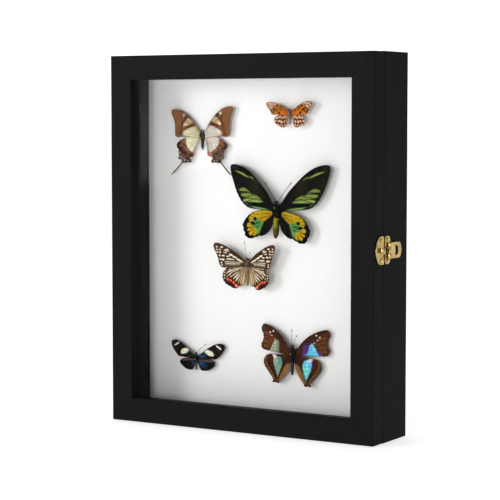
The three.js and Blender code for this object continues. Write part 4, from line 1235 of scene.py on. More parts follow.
def paint_emperor_fore(c, right):
    c.colour[:] = (78, 42, 22)
    c.lay(ramp(c.u, 22, 32), (86, 46, 24), 0.8)
    c.lay(1 - ramp(c.u, 6, 18), (66, 36, 20), 0.8)
    front = c.v - (6 + 0.62 * c.u)
    c.lay(ramp(front, -5.5, -0.5), (52, 27, 14), 0.8)
    c.streak([(22, 17.6, 0.8), (30, 12, 1.4), (34, 4, 1.2)], (132, 82, 42), 1.6, 0.6)
    c.streak([(37, 20, 0.7), (37.4, 12, 0.8), (38.6, 3, 0.6)], (128, 84, 50), 1.2, 0.5)
    c.streak([(34, 22, 0.5), (33.6, 14, 0.8), (36, 6, 0.6)], (58, 28, 14), 1.2, 0.5)
    for u in (10, 13, 16, 19, 22, 25):
        c.streak([(u, 0.42 * u, 0.3), (u + 3, 0.72 * u + 5, 0.4)], (34, 14, 6), 0.4, 0.7)
    waves = ((36, 19.5), (34.6, 15.4), (35.6, 10), (37.4, 5), (31.8, 17.6), (31, 12), (33.4, 7))
    for u, v in waves:
        crest = [(u - 1.4, v - 0.8, 0.45), (u, v + 1, 0.75), (u + 1.4, v - 0.5, 0.45)]
        trough = [(u - 1.3, v - 2, 0.3), (u, v - 0.4, 0.5), (u + 1.3, v - 1.7, 0.3)]
        c.streak(crest, (164, 106, 60), 0.4, 0.75)
        c.streak(trough, (38, 15, 7), 0.4, 0.85)
    veins_on(c, VEINS["emperor_fore"], (44, 18, 8), 0.34, 0.8)
    for u, v, r in ((27, 22.5, 1.05), (31.2, 20.7, 1.05), (28.9, 17.4, 0.85), (25, 13.6, 0.7)):
        c.spot(u, v, r * 1.5, r * 1.4, (62, 30, 16), 0, 0.4, 0.8)
        c.spot(u, v, r, r * 0.9, (255, 240, 232), 0, 0.3)
    # Right forewing only: painted iridescent sheen, violet and blue over the window; the left forewing
    # below keeps the window's duller grey-green.
    if right:
        c.spot(15.6, 6.4, 4.0, 6.0, (84, 48, 128), -30, 3.0, 0.9)
        c.spot(31, 3.4, 2.6, 2.6, (92, 56, 158), 0, 1.6, 0.9)
        c.spot(33.6, 0.4, 3.6, 1.2, (120, 96, 214), 0, 1.2, 0.9)
        window_with_painted_sheen = [
            (20, 11), (21.8, 13.4), (24, 12), (27, 8), (28.6, 4), (31, 1.2), (34, -2), (12.6, -2),
            (14.6, 0.2), (17.8, 1.8), (18.4, 6),
        ]
        c.patch(window_with_painted_sheen, (104, 208, 240), 0.6)
        c.patch([(12.6, 0.8), (18, 0.6), (18, -2), (12.6, -2)], (96, 120, 222), 1.2, 0.8)
        # A pale painted highlight in the sheen.
        c.spot(24.6, 8, 1.6, 2.4, (190, 232, 244), 30, 1.2, 0.7)
        for v in (2.6, 5.4, 8.4):
            c.streak([(18.8, v, 0.3), (27, v + 0.6, 0.2)], (60, 110, 205), 0.3, 0.75)
        for v in (3, 6, 9):
            c.streak([(13.4, v, 0.45), (18.4, v + 0.8, 0.5)], (100, 54, 180), 0.4, 0.85)
            c.streak([(13.4, v + 1.5, 0.3), (18.4, v + 2.3, 0.3)], (60, 26, 30), 0.4, 0.8)
    else:
        green_window = [
            (19.4, 12.4), (22.6, 13.6), (25.6, 11.6), (28, 7.6), (29.6, 3.6), (31.6, 0.6),
            (32, -2), (19, -2), (18.6, 3), (18.8, 8),
        ]
        c.patch(green_window, (170, 180, 146), 1.0)
        inner_part = [(18.8, 12.6), (22, 13), (21.8, 4), (22, -2), (18.6, -2)]
        c.patch(inner_part, (96, 126, 110), 1.2, 0.85)
        for v in (1.6, 4.4, 7.2):
            c.streak([(19.4, v, 0.3), (28.4, v + 0.3, 0.3)], (92, 106, 80), 0.3, 0.85)
    c.border(0.7, (46, 22, 11), 0.5, 0.8)


def paint_emperor_hind(c, right):
    c.colour[:] = (74, 38, 20)
    warm = [(37, -8, 1.0), (37, -14, 1.3), (30, -23, 1.2), (25, -29, 0.9)]
    c.streak(warm, (112, 64, 34), 1.2, 0.7)
    dusky = [(31, -6, 1.4), (31.6, -13, 1.4), (26.6, -21, 1.2), (22.6, -28, 0.8)]
    c.streak(dusky, (50, 25, 14), 1.2, 0.7)
    rim_line = (
        (34.6, -5), (36.6, -8.4), (36.8, -12), (35.4, -15.6), (32.8, -19.2), (29.8, -23),
        (27, -26.6), (25, -29.6),
    )
    for u, v in rim_line:
        c.spot(u, v, 1.3, 0.75, (186, 122, 66), -50, 0.35, 0.85)
        c.spot(u - 2.1, v + 0.8, 1.4, 0.8, (34, 13, 6), -50, 0.35, 0.9)
        c.spot(u + 1.6, v - 0.4, 1.0, 0.55, (34, 13, 6), -50, 0.35, 0.85)
    veins_on(c, VEINS["emperor_hind"], (40, 17, 8), 0.32, 0.8)
    inner_fold = [
        (3, -12), (8, -11), (12, -17), (16.4, -25), (19.6, -31), (16, -36), (8, -30), (2, -20),
    ]
    c.patch(inner_fold, (150, 104, 62), 1.6, 0.9)
    near_root = [(3, -8), (16, -4), (14, -13), (13, -16), (8, -12)]
    c.patch(near_root, (44, 26, 18), 2.0, 0.8)
    band = [
        (26.4, -5.4), (21, -4.8), (16.2, -6.2), (14.2, -10), (14.8, -15), (17.4, -21), (20, -27.6),
        (22.2, -23), (25, -17), (26.8, -11),
    ]
    gap = polygon_distance(c.u, c.v, band)
    c.lay(1 - ramp(gap, 0.8, 3.0), (36, 19, 14), 0.85)
    # Right hindwing only: painted iridescent sheen, a violet glow round the band and cyan and turquoise
    # over it; the left hindwing below keeps the band's duller grey-green.
    if right:
        c.lay((1 - ramp(gap, 0.2, 2.6)) * ramp(c.u, 21, 25), (84, 44, 130), 0.85)
        c.patch(band, (112, 212, 236), 0.6)
        c.patch([(14, -12), (26, -15), (20, -29), (16, -22)], (118, 226, 208), 2.0, 0.8)
        # Pale painted highlights in the sheen.
        c.spot(23, -6, 2.6, 2.6, (222, 220, 234), 0, 1.6, 0.9)
        c.spot(20.4, -12, 1.0, 4.6, (190, 240, 248), 0, 1.0, 0.6)
        c.spot(25, -10, 1.4, 3.0, (120, 170, 250), 10, 1.0, 0.7)
        pale_top = [(29.6, -1), (22, -0.6), (22.6, -5), (26, -6), (28, -4.6)]
        c.patch(pale_top, (236, 214, 208), 0.8)
    else:
        c.patch(band, (140, 170, 142), 0.6)
        c.spot(17.4, -10, 3.0, 4.6, (86, 156, 146), 0, 1.4, 0.9)
        c.spot(20.6, -22, 1.6, 4.6, (118, 166, 134), 0, 1.2, 0.7)
        c.spot(22.6, -10.6, 1.6, 3.0, (170, 176, 150), 0, 1.0, 0.8)
        pale_top = [
            (29.4, -1.4), (22, -1), (22.4, -5), (23, -8.4), (25.4, -9), (27, -6), (28.4, -4),
        ]
        c.patch(pale_top, (228, 210, 200), 0.8)
        for v in (-13, -16.4):
            c.streak([(15.4, v, 0.1), (24.6, v + 1.2, 0.1)], (84, 128, 112), 0.35, 0.6)
    cross_lines = [
        ((15, -9.6), (26, -8)), ((15.2, -13.6), (25.6, -12)), ((16.4, -18.4), (24, -17)),
        ((18, -23), (22.4, -22)),
    ]
    # The cross lines are blue on the right wing, as part of the painted sheen, and green on the left.
    line_colour = (64, 140, 176) if right else (70, 106, 88)
    c.strokes(cross_lines, (0.26, 0.32), line_colour, 0.28, 0.75)
    c.streak([(20, -31.4, 0.4), (25, -32.6, 0.6)], (150, 84, 66), 0.6, 0.8)
    c.streak([(19, -33.6, 0.4), (27, -34, 0.5)], (40, 22, 16), 0.5, 0.8)
    c.streak([(23.4, -3.2, 0.4), (12, -3.6, 0.5)], (108, 66, 34), 0.8, 0.7)
    c.border(0.6, (40, 22, 14), 0.5, 0.8, ramp(c.u, 17, 22))


PAINTERS = {
    "swallowtail": (paint_swallowtail_fore, paint_swallowtail_hind),
    "fritillary": (paint_fritillary_fore, paint_fritillary_hind),
    "birdwing": (paint_birdwing_fore, paint_birdwing_hind),
    "ringskirt": (paint_ringskirt_fore, paint_ringskirt_hind),
    "longwing": (paint_longwing_fore, paint_longwing_hind),
    "emperor": (paint_emperor_fore, paint_emperor_hind),
}

# Each specimen: where its pin is, how it is turned, how far its wings are raised, and how each
# wing's drawing was turned and stretched for the left and the right side.
SPECIMENS = {
    "swallowtail": {
        "place": (-75.6, 50, 320), "roll": 0, "raised": 1.7,
        "fit": {"fore": ((0, 1, 1), (1.2, 1.025, 1.08)), "hind": ((0, 1, 1), (0, 1, 1))},
        "head": (0, 7.2, 1.9), "thorax": (0, 2, 3.5, 5.2), "abdomen": (0, -1, -13.6, 1.9, 0),
        "antennae": [], "skin": (34, 28, 24), "belly": (46, 36, 30), "hair": (52, 44, 36),
    },
    "fritillary": {
        "place": (38.8, 47.5, 347), "roll": 0, "raised": 3.3,
        "fit": {"fore": ((-2, 1, 1), (0, 1, 1)), "hind": ((0, 1.02, 1), (0, 0.98, 1))},
        "head": (-0.2, 4.6, 1.3), "thorax": (0, 0.6, 2, 3.6), "abdomen": (0, -2, -11.6, 1.3, 0),
        "antennae": [(-10.2, 11.6), (9.6, 11.6)],
        "skin": (112, 96, 90), "belly": (128, 112, 104), "hair": (120, 104, 96),
    },
    "birdwing": {
        "place": (26.9, 40, 244.7), "roll": 0, "raised": -6.6,
        "fit": {"fore": ((0, 1.01, 1), (0.5, 0.99, 1)), "hind": ((0, 1, 1), (-8, 0.88, 0.97))},
        "head": (0, 4.8, 2.6), "thorax": (0, -4.2, 4.8, 8.4), "abdomen": (-0.5, -10, -34, 3.8, -3),
        "antennae": [(-13.8, 28), (19.4, 28)],
        "skin": (15, 14, 12), "belly": (150, 140, 34), "hair": (18, 16, 14),
    },
    "ringskirt": {
        "place": (-14.7, 47, 181), "roll": 0, "raised": 10,
        "fit": {"fore": ((0, 1, 1), (0, 0.985, 1)), "hind": ((2, 1.02, 1), (0, 1.07, 1))},
        "head": (0, 4.9, 1.8), "thorax": (0, 0, 2.6, 4.6), "abdomen": (0, -3, -25, 1.9, 0),
        "antennae": [(-2.8, 25), (4.6, 13)],
        "skin": (92, 78, 62), "belly": (134, 108, 74), "hair": (112, 96, 76),
    },
    "longwing": {
        "place": (-82.8, 47.5, 69.8), "roll": 0, "raised": -5.2,
        "fit": {"fore": ((1.5, 1, 1), (0, 1, 1)), "hind": ((0, 1, 1), (0, 0.97, 1))},
        "head": (0, 6.6, 1.3), "thorax": (0, 1.8, 1.9, 3.8), "abdomen": (0.4, -1, -12.6, 1, 0),
        "antennae": [(-0.6, 11.4), (14.6, 18.2)],
        "skin": (24, 20, 18), "belly": (62, 54, 44), "hair": (34, 28, 24),
    },
    "emperor": {
        "place": (44, 45, 84.8), "roll": -1.4, "raised": -7,
        "fit": {"fore": ((0, 1, 1), (-1, 1, 1)), "hind": ((0, 1, 1), (-2, 0.86, 1))},
        "head": (0, 8.4, 2.2), "thorax": (0, -1.6, 3.7, 9), "abdomen": (0, -8, -24, 2.1, 0),
        "antennae": [(-0.4, 27), (6.2, 21)],
        "skin": (26, 19, 17), "belly": (60, 44, 34), "hair": (36, 26, 22),
    },
}


def local_to_world(spec, points):
    """Millimetres from the pin, with x right, y back and z up, as metres in the case's frame."""
    p = np.asarray(points, float)
    turn = -math.radians(spec["roll"])
    x = p[:, 0] * math.cos(turn) + p[:, 2] * math.sin(turn)
    z = -p[:, 0] * math.sin(turn) + p[:, 2] * math.cos(turn)
    px, depth, pz = spec["place"]
    return np.stack([x + px, p[:, 1] + CASE_FRONT_MM + depth, z + pz], 1) * MM


def world_to_local(spec, points):
    px, depth, pz = spec["place"]
    p = np.asarray(points, float) / MM - (px, CASE_FRONT_MM + depth, pz)
    turn = -math.radians(spec["roll"])
    x = p[:, 0] * math.cos(turn) - p[:, 2] * math.sin(turn)
    z = p[:, 0] * math.sin(turn) + p[:, 2] * math.cos(turn)
    return np.stack([x, p[:, 1], z], 1)


def wing_axes(spec, side):
    angle = -side * math.radians(spec["raised"])
    return math.cos(angle), math.sin(angle)


def plate_to_local(spec, side, u, t, v):
    """u out along the wing, t back through it and v up, as the specimen's own x, y and z."""
    c, s = wing_axes(spec, side)
    x = side * u
    return np.stack([x * c - t * s, x * s + t * c, v], 1)


def front_outline(node, spec, side, layer):
    """The outline of a wing solid's front face, as an array of u and v."""
    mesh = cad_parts[node].data
    co = np.zeros(len(mesh.vertices) * 3)
    mesh.vertices.foreach_get("co", co)
    local = world_to_local(spec, co.reshape(-1, 3))
    c, s = wing_axes(spec, side)
    x = local[:, 0] * c + local[:, 1] * s
    t = -local[:, 0] * s + local[:, 1] * c - layer
    flat = np.stack([side * x, local[:, 2]], 1)
    front = t < -WING_THICKNESS / 2 + 0.02
    keys = [tuple(k) for k in np.round(flat, 2)]
    uses = {}
    for face in mesh.polygons:
        if all(front[i] for i in face.vertices):
            ring = list(face.vertices)
            for a, b in zip(ring, ring[1:] + ring[:1]):
                if keys[a] == keys[b]:
                    continue
                if (keys[b], keys[a]) in uses:
                    del uses[(keys[b], keys[a])]
                else:
                    uses[(keys[a], keys[b])] = True
    follow = dict(uses.keys())
    loops = []
    while follow:
        start, spot = follow.popitem()
        loop = [start]
        while spot != start and spot in follow:
            loop.append(spot)
            spot = follow.pop(spot)
        loops.append(loop)
    return np.array(max(loops, key=len), float)


def smooth_loop(points, step):
    """A closed curve through the points, resampled at even steps."""
    p0, p1 = np.roll(points, 1, 0), points
    p2, p3 = np.roll(points, -1, 0), np.roll(points, -2, 0)
    chord = np.linalg.norm(p2 - p1, axis=1)[:, None]
    before = np.linalg.norm(p1 - p0, axis=1)[:, None]
    after = np.linalg.norm(p3 - p2, axis=1)[:, None]
    m1 = 0.5 * chord * ((p1 - p0) / np.maximum(before, 1e-6) + (p2 - p1) / np.maximum(chord, 1e-6))
    m2 = 0.5 * chord * ((p3 - p2) / np.maximum(after, 1e-6) + (p2 - p1) / np.maximum(chord, 1e-6))
    dense = []
    for t in np.linspace(0, 1, 8, endpoint=False):
        a, b = 2 * t**3 - 3 * t**2 + 1, t**3 - 2 * t**2 + t
        c, d = -2 * t**3 + 3 * t**2, t**3 - t**2
        dense.append(a * p1 + b * m1 + c * p2 + d * m2)
    curve = np.stack(dense, 1).reshape(-1, 2)
    closed = np.vstack([curve, curve[:1]])
    along = np.concatenate([[0], np.cumsum(np.linalg.norm(np.diff(closed, axis=0), axis=1))])
    spots = np.linspace(0, along[-1], max(12, int(along[-1] / step)), endpoint=False)
    return np.stack([np.interp(spots, along, closed[:, i]) for i in (0, 1)], 1)


SCALLOPS = {
    ("birdwing", "fore"): (5.6, 0.45), ("birdwing", "hind"): (6.2, 0.7),
    ("ringskirt", "fore"): (4.2, 0.4), ("ringskirt", "hind"): (4.4, 0.6),
    ("emperor", "fore"): (4.8, 0.6), ("emperor", "hind"): (4.0, 0.55),
    ("swallowtail", "hind"): (4.2, 0.6), ("fritillary", "hind"): (3.4, 0.35),
    ("fritillary", "fore"): (3.6, 0.3),
}


def scalloped(outline, name, wing):
    """The outline with shallow bays cut between the vein ends of its outer rim."""
    if (name, wing) not in SCALLOPS:
        return outline
    period, depth = SCALLOPS[(name, wing)]
    ahead, behind = np.roll(outline, -1, 0), np.roll(outline, 1, 0)
    along = ahead - behind
    along /= np.maximum(np.linalg.norm(along, axis=1), 1e-9)[:, None]
    x, y = outline[:, 0], outline[:, 1]
    turn = np.sign(np.sum(x * np.roll(y, -1) - np.roll(x, -1) * y))
    outward = np.stack([along[:, 1], -along[:, 0]], 1) * turn
    length = np.linalg.norm(ahead - outline, axis=1)
    distance = np.cumsum(length)
    waves = max(1, round(distance[-1] / period))
    bay = 0.5 - 0.5 * np.cos(2 * math.pi * waves * distance / distance[-1])
    reach = np.abs(x).max()
    rim = ramp(np.abs(x), 0.3 * reach, 0.5 * reach) * (1 - ramp(outward[:, 1], 0.25, 0.6))
    rim *= ramp(outward[:, 0] - outward[:, 1], 0.1, 0.5)
    if name == "swallowtail":
        rim *= 1 - ramp(-y, 22, 25)
    return outline - outward * (bay * rim * depth)[:, None]


def undo_fit(u, v, fit):
    turn, stretch, rise = fit
    a, b = u / stretch, v / rise
    c, s = math.cos(math.radians(turn)), math.sin(math.radians(turn))
    return c * a + s * b, -s * a + c * b


def do_fit(u, v, fit):
    turn, stretch, rise = fit
    c, s = math.cos(math.radians(turn)), math.sin(math.radians(turn))
    return stretch * (c * u - s * v), rise * (s * u + c * v)


def store_paint(mesh, colours):
    layer = mesh.color_attributes.new("paint", "FLOAT_COLOR", "POINT")
    values = np.ones((len(colours), 4))
    values[:, :3] = srgb(np.clip(colours, 0, 255))
    layer.data.foreach_set("color", values.ravel())


def relief(u, v):
    """How far the sheet stands towards the glass: shallow folds that fan out, and a camber."""
    fan = 0.385 * np.hypot(u, v + 4) + 9 * np.arctan2(v + 4, u + 6)
    rise = np.sin(np.clip(np.hypot(u, v) / CAMBER_REACH, 0, 1) * math.pi)
    return FOLD_HEIGHT * np.sin(fan) + CAMBER_HEIGHT * rise


def side_and_layer(side_name, wing):
    """The side as -1 or 1, and how far behind the forewings the wing lies."""
    side = -1 if side_name == "left" else 1
    layer = 0.0 if wing == "fore" else HIND_LAYER
    return side, layer


def painted(name, wing, side, u, v, rim, seed):
    """A canvas over the given points with the wing's drawing on it."""
    canvas = Canvas(u, v, rim, seed)
    PAINTERS[name][0 if wing == "fore" else 1](canvas, side > 0)
    return canvas


def filled(outline):
    """Points and triangles that fill an outline, in even rows away from its edge."""
    low, high = outline.min(0), outline.max(0)
    columns = np.arange(low[0], high[0], SHEET_STEP)
    rows = np.arange(low[1], high[1], SHEET_STEP * ROW_RATIO)
    gu, gv = np.meshgrid(columns, rows)
    gu = gu + (np.arange(len(rows)) % 2)[:, None] * SHEET_STEP / 2
    gu, gv = gu.ravel(), gv.ravel()
    keep = polygon_distance(gu, gv, outline) < -SHEET_STEP * 0.55
    points = np.vstack([outline, np.stack([gu[keep], gv[keep]], 1)])
    ring = list(range(len(outline)))
    coords, _, tris, *_ = delaunay_2d_cdt([Vector(p) for p in points], [], [ring], 1, 1e-5)
    flat = np.array([(p.x, p.y) for p in coords])
    return flat, np.array([t for t in tris if len(t) == 3])


def closed_sheet(flat, tri, side):
    """Faces over the points of a front and then a back layer, with walls along the edge."""
    a, b, c = flat[tri[:, 0]], flat[tri[:, 1]], flat[tri[:, 2]]
    area = (b[:, 0] - a[:, 0]) * (c[:, 1] - a[:, 1]) - (b[:, 1] - a[:, 1]) * (c[:, 0] - a[:, 0])
    turned = (area < 0) != (side < 0)
    tri[turned] = tri[turned][:, ::-1]
    edges = dict.fromkeys(e for x, y, z in tri for e in ((x, y), (y, z), (z, x)))
    walls = [(i, j) for i, j in edges if (j, i) not in edges]
    count = len(flat)
    faces = [tuple(t) for t in tri]
    faces += [tuple(int(i) + count for i in t[::-1]) for t in tri]
    faces += [(j, i, i + count, j + count) for i, j in walls]
    return faces


def wing_sheet(name, spec, side_name, wing, seed):
    """A wing's painted sheet; gives back its outline and fit, which its veins need too."""
    side, layer = side_and_layer(side_name, wing)
    node = f"{name}_{side_name}_{wing}wing"
    outline = smooth_loop(front_outline(node, spec, side, layer), SHEET_STEP)
    outline = scalloped(outline, name, wing)
    flat, tri = filled(outline)
    u, v = flat[:, 0], flat[:, 1]
    fit = spec["fit"][wing][0 if side < 0 else 1]
    bu, bv = undo_fit(u, v, fit)
    rim = -polygon_distance(u, v, outline)
    canvas = painted(name, wing, side, bu, bv, rim, seed)
    canvas.mottle(0.8, 0.05)
    canvas.mottle(3.0, 0.05, 5)
    middle = layer - relief(bu, bv)
    half = np.clip(rim / THIN_RIM, 0.25, 1) * SHEET_THICKNESS / 2
    layers = [plate_to_local(spec, side, u, middle + way * half, v) for way in (-1, 1)]
    verts = local_to_world(spec, np.vstack(layers))
    piece = object_from(f"{node}_sheet", verts, closed_sheet(flat, tri, side))
    store_paint(piece.data, np.vstack([canvas.colour, canvas.colour]))
    finish_piece(piece, "case", SCALES, (node,))
    return outline, fit


def path_mesh(name, paths):
    """paths: lists of (point in metres, radius in metres, colour) as one mesh of edges."""
    verts, edges, radii, colours = [], [], [], []
    for path in paths:
        start = len(verts)
        for point, radius, colour in path:
            verts.append(tuple(point))
            radii.append(radius)
            colours.append(colour)
        edges += [(start + i, start + i + 1) for i in range(len(path) - 1)]
    mesh = bpy.data.meshes.new(name)
    mesh.from_pydata(verts, edges, [])
    thick = mesh.attributes.new("thickness", "FLOAT", "POINT")
    thick.data.foreach_set("value", np.array(radii))
    store_paint(mesh, np.array(colours, float))
    made = bpy.data.objects.new(name, mesh)
    bpy.context.scene.collection.objects.link(made)
    return made


def dense_path(points, step=0.8):
    p = np.asarray(points, float)
    along = np.concatenate([[0], np.cumsum(np.linalg.norm(np.diff(p, axis=0), axis=1))])
    spots = np.linspace(0, along[-1], max(4, int(along[-1] / step)))
    line = np.stack([np.interp(spots, along, p[:, i]) for i in range(p.shape[1])], 1)
    for _ in range(3):
        line[1:-1] = 0.25 * line[:-2] + 0.5 * line[1:-1] + 0.25 * line[2:]
    return line


def raised_veins(name, spec, outlines):
    """Thin tubes along a specimen's veins, a little darker than the sheets under them."""
    paths = []
    for (side_name, wing), (outline, fit) in outlines.items():
        side, layer = side_and_layer(side_name, wing)
        for path in VEINS[f"{name}_{wing}"]:
            base = dense_path(path)
            if name == "swallowtail" and wing == "hind" and side > 0:
                base[:, 0] -= tail_lean(base[:, 1])
            u, v = do_fit(base[:, 0], base[:, 1], fit)
            inside = polygon_distance(u, v, outline) < -VEIN_MARGIN
            u, v, base = u[inside], v[inside], base[inside]
            if len(u) < 4:
                continue
            rim = np.full(len(u), 3.0)
            canvas = painted(name, wing, side, base[:, 0], base[:, 1], rim, 5)
            tone = canvas.colour * VEIN_SHADE
            t = layer - relief(base[:, 0], base[:, 1]) - VEIN_RISE
            spots = local_to_world(spec, plate_to_local(spec, side, u, t, v))
            radii = np.linspace(*VEIN_RADII, len(u)) * MM
            paths.append(list(zip(spots, radii, tone)))
    carrier = path_mesh(f"{name}_veins", paths)
    made = grown(carrier, TUBES, f"{name}_wing_veins", Sides=6, Material=SCALES)
    finish_piece(made, "case")


def loft(rings, sides=36):
    """A closed skin over elliptical rings: (x, y, z, half width, half depth), bottom to top."""
    verts, faces = [], []
    for x, y, z, wide, deep in rings:
        for s in range(sides):
            a = 2 * math.pi * s / sides
            verts.append((x + wide * math.cos(a), y + deep * math.sin(a), z))
    for r in range(len(rings) - 1):
        for s in range(sides):
            t = (s + 1) % sides
            a, b = r * sides, (r + 1) * sides
            faces.append((a + s, a + t, b + t, b + s))
    faces.append(tuple(range(sides - 1, -1, -1)))
    top = (len(rings) - 1) * sides
    faces.append(tuple(top + s for s in range(sides)))
    return np.array(verts), faces


def abdomen_rings(spec):
    x0, top, bottom, radius, lean = spec["abdomen"]
    length, count = top - bottom, 64
    shift = math.tan(math.radians(lean))
    rings = []
    for i in range(count + 1):
        along = 1 - i / count
        front = min(1.0, 0.62 + 2.2 * along)
        tail = max(0.0, 1 - max(0.0, (along - 0.55) / 0.45) ** 3) ** 0.5
        segment = 1 + 0.04 * math.cos(along * 2 * math.pi * ABDOMEN_SEGMENTS)
        r = radius * max(0.03, front * tail * (1 - 0.16 * along)) * segment
        rings.append((x0 + shift * along * length, THORAX_Y, top - along * length, r, r * 0.97))
    return rings


def ball_rings(x, y, z, wide, deep, tall, count=22):
    rings = []
    for i in range(count + 1):
        a = math.pi * (i / count - 0.5)
        r = max(0.02, math.cos(a))
        rings.append((x, y, z + tall * math.sin(a), wide * r, deep * r))
    return rings


def join_forms(forms):
    """Several (points, faces) forms as one list of points and one of faces."""
    faces, start = [], 0
    for points, own_faces in forms:
        faces += [tuple(i + start for i in face) for face in own_faces]
        start += len(points)
    return np.vstack([points for points, _ in forms]), faces


def birdwing_belly(spec, v, colour):
    """Colours the abdomen's rings yellow above and brown towards the tail and the flanks."""
    x0, top, bottom, radius, lean = spec["abdomen"]
    belly = (v[:, 2] < top - 3) & (np.abs(v[:, 0]) < 6)
    along = (top - v[:, 2]) / (top - bottom)
    spine_x = x0 + math.tan(math.radians(lean)) * along * (top - bottom)
    across = np.abs(v[:, 0] - spine_x) / radius
    dusk = ramp(along, 0.42, 0.6)
    tone = np.outer(1 - dusk, (160, 152, 36)) + np.outer(dusk, (92, 78, 24))
    flank = ramp(across, 0.45, 0.9)[:, None]
    tone = tone * (1 - flank) + np.array((66, 52, 22)) * flank
    rings = (0.86 + 0.14 * np.cos(along * 2 * math.pi * ABDOMEN_SEGMENTS))[:, None]
    colour[belly] = (tone * rings)[belly]


def insect_body(name, spec, seed):
    hx, hz, hr = spec["head"]
    tx, tz, tw, th = spec["thorax"]
    chunks = [
        (ball_rings(hx, HEAD_Y, hz, hr, hr * CHEST_FLATNESS, hr * 0.9), spec["skin"]),
        (ball_rings(tx, THORAX_Y, tz, tw, tw * CHEST_FLATNESS, th, 30), spec["skin"]),
        (abdomen_rings(spec), spec["belly"]),
    ]
    forms = [loft(rings) for rings, _ in chunks]
    v, faces = join_forms(forms)
    colours = []
    for (points, _), (_, tone) in zip(forms, chunks):
        rough = noise(points[:, 0] + points[:, 1], points[:, 2], 0.8, seed)
        colours.append(np.asarray(tone, float) * (0.72 + 0.56 * rough)[:, None])
    colour = np.vstack(colours)
    if name == "birdwing":
        birdwing_belly(spec, v, colour)
    piece = object_from(f"{name}_body_form", local_to_world(spec, v), faces)
    store_paint(piece.data, colour)
    finish_piece(piece, "case", FUR, (f"{name}_body",))


def insect_hair(name, spec, seed):
    tx, tz, tw, th = spec["thorax"]
    hx, hz, hr = spec["head"]
    chest = loft(ball_rings(tx, THORAX_Y, tz, tw, tw * CHEST_FLATNESS, th, 20), 24)
    brow = loft(ball_rings(hx, HEAD_Y, hz, hr * 0.9, hr * 0.85, hr * 0.85, 14), 18)
    verts, faces = join_forms([chest, brow])
    source = object_from(f"{name}_hair_base", local_to_world(spec, verts), faces)
    area = 4 * math.pi * (tw * th) * 1.15 * MM * MM
    look = plain(f"{name}_hair", rgba(*spec["hair"]), 0.8, 0.15)
    made = grown(
        source,
        HAIRS,
        f"{name}_body_hair",
        Density=HAIR_COUNT / area,
        Length=min(LONGEST_HAIR, tw * 0.42) * MM,
        Radius=HAIR_RADIUS * MM,
        Seed=seed,
        Material=look,
    )
    finish_piece(made, "case")


def insect_limbs(name, spec):
    """Antennae with clubs, mouthparts and legs, as tubes."""
    hx, hz, hr = spec["head"]
    tx, tz, tw, th = spec["thorax"]
    skin = spec["skin"]
    paths = []

    def limb(points, thick, thin, colour, club=0.0):
        line = dense_path(points, 0.35)
        spots = local_to_world(spec, line)
        radii = np.linspace(thick, thin, len(line))
        radii = radii * (1 + 0.12 * np.cos(np.arange(len(line)) * 2.1))
        if club:
            along = np.linspace(0, 1, len(line))
            radii = radii + club * ramp(along, 0.84, 0.93) * (1 - ramp(along, 0.97, 1.02) * 0.7)
        paths.append([(p, r * MM, colour) for p, r in zip(spots, radii)])

    for u, v in spec["antennae"]:
        way = math.copysign(1, u)
        start = (hx + way * hr * 0.4, -0.4, hz + hr * 0.5)
        middle = ((start[0] + u) / 2 - way * 0.4, -1.8, (start[2] + v) / 2)
        shade = tuple(min(150, c + 60) for c in skin)
        limb([start, middle, (u, -2.2, v)], thick=0.27, thin=0.2, colour=shade, club=0.34)
    leg_rows = (-1, 0, 1) if name in ("swallowtail", "birdwing") else (-1, 0.4)
    for side in (-1, 1):
        mouth = (hx + side * hr * 0.3, -hr * 0.7, hz + hr * 0.4)
        mouth_end = (hx + side * hr * 0.4, -hr * 0.9, hz + hr * 1.05)
        limb([mouth, mouth_end], thick=0.3, thin=0.12, colour=skin)
        for row in leg_rows:
            hip = (tx + side * tw * 0.3, tw * 0.6, tz + row * th * 0.3)
            knee = (tx + side * tw * 0.88, tw * 1.02, hip[2] + th * 0.34)
            foot = (tx + side * tw * 0.4, tw * 1.12, hip[2] - th * 0.2)
            limb([hip, knee, foot], thick=0.28, thin=0.12, colour=skin)
    carrier = path_mesh(f"{name}_paths", paths)
    made = grown(carrier, TUBES, f"{name}_limbs", Sides=8, Material=FUR)
    finish_piece(made, "case")


EYE = plain("insect_eye", rgba(26, 16, 12), 0.18, 0.7)


def insect_eyes(name, spec):
    hx, hz, hr = spec["head"]
    forms = []
    for side in (-1, 1):
        x, y, z = hx + side * hr * 0.66, -hr * 0.42, hz + 0.1
        forms.append(loft(ball_rings(x, y, z, hr * 0.5, hr * 0.52, hr * 0.6, 12), 18))
    verts, faces = join_forms(forms)
    piece = object_from(f"{name}_eyes", local_to_world(spec, verts), faces)
    finish_piece(piece, "case", EYE)


def specimen_pin(name, spec):
    """A pin through the thorax, with a round head, into the board behind."""
    tw = spec["thorax"][2]
    head = THORAX_Y - tw * CHEST_FLATNESS - PIN_STANDS_OUT
    back = BOARD_DEPTH - spec["place"][1] + PIN_IN_BOARD
    profile = [
        (head - 0.5, 0.02), (head - 0.46, 0.34), (head - 0.3, 0.56), (head, 0.66),
        (head + 0.3, 0.56), (head + 0.46, 0.33), (head + 0.5, 0.2), (head + 1, 0.19),
        (back - 2, 0.19), (back, 0.02),
    ]
    sides, verts, faces = 16, [], []
    for y, r in profile:
        for s in range(sides):
            a = 2 * math.pi * s / sides
            verts.append((r * math.cos(a), y, r * math.sin(a)))
    for i in range(len(profile) - 1):
        for s in range(sides):
            t = (s + 1) % sides
            a, b = i * sides, (i + 1) * sides
            faces.append((a + s, b + s, b + t, a + t))
    faces.append(tuple(range(sides)))
    faces.append(tuple(range(len(verts) - 1, len(verts) - 1 - sides, -1)))
    piece = object_from(f"{name}_pin_form", local_to_world(spec, np.array(verts)), faces)
    outward_faces(piece)
    finish_piece(piece, "case", STEEL, (f"{name}_pin",))


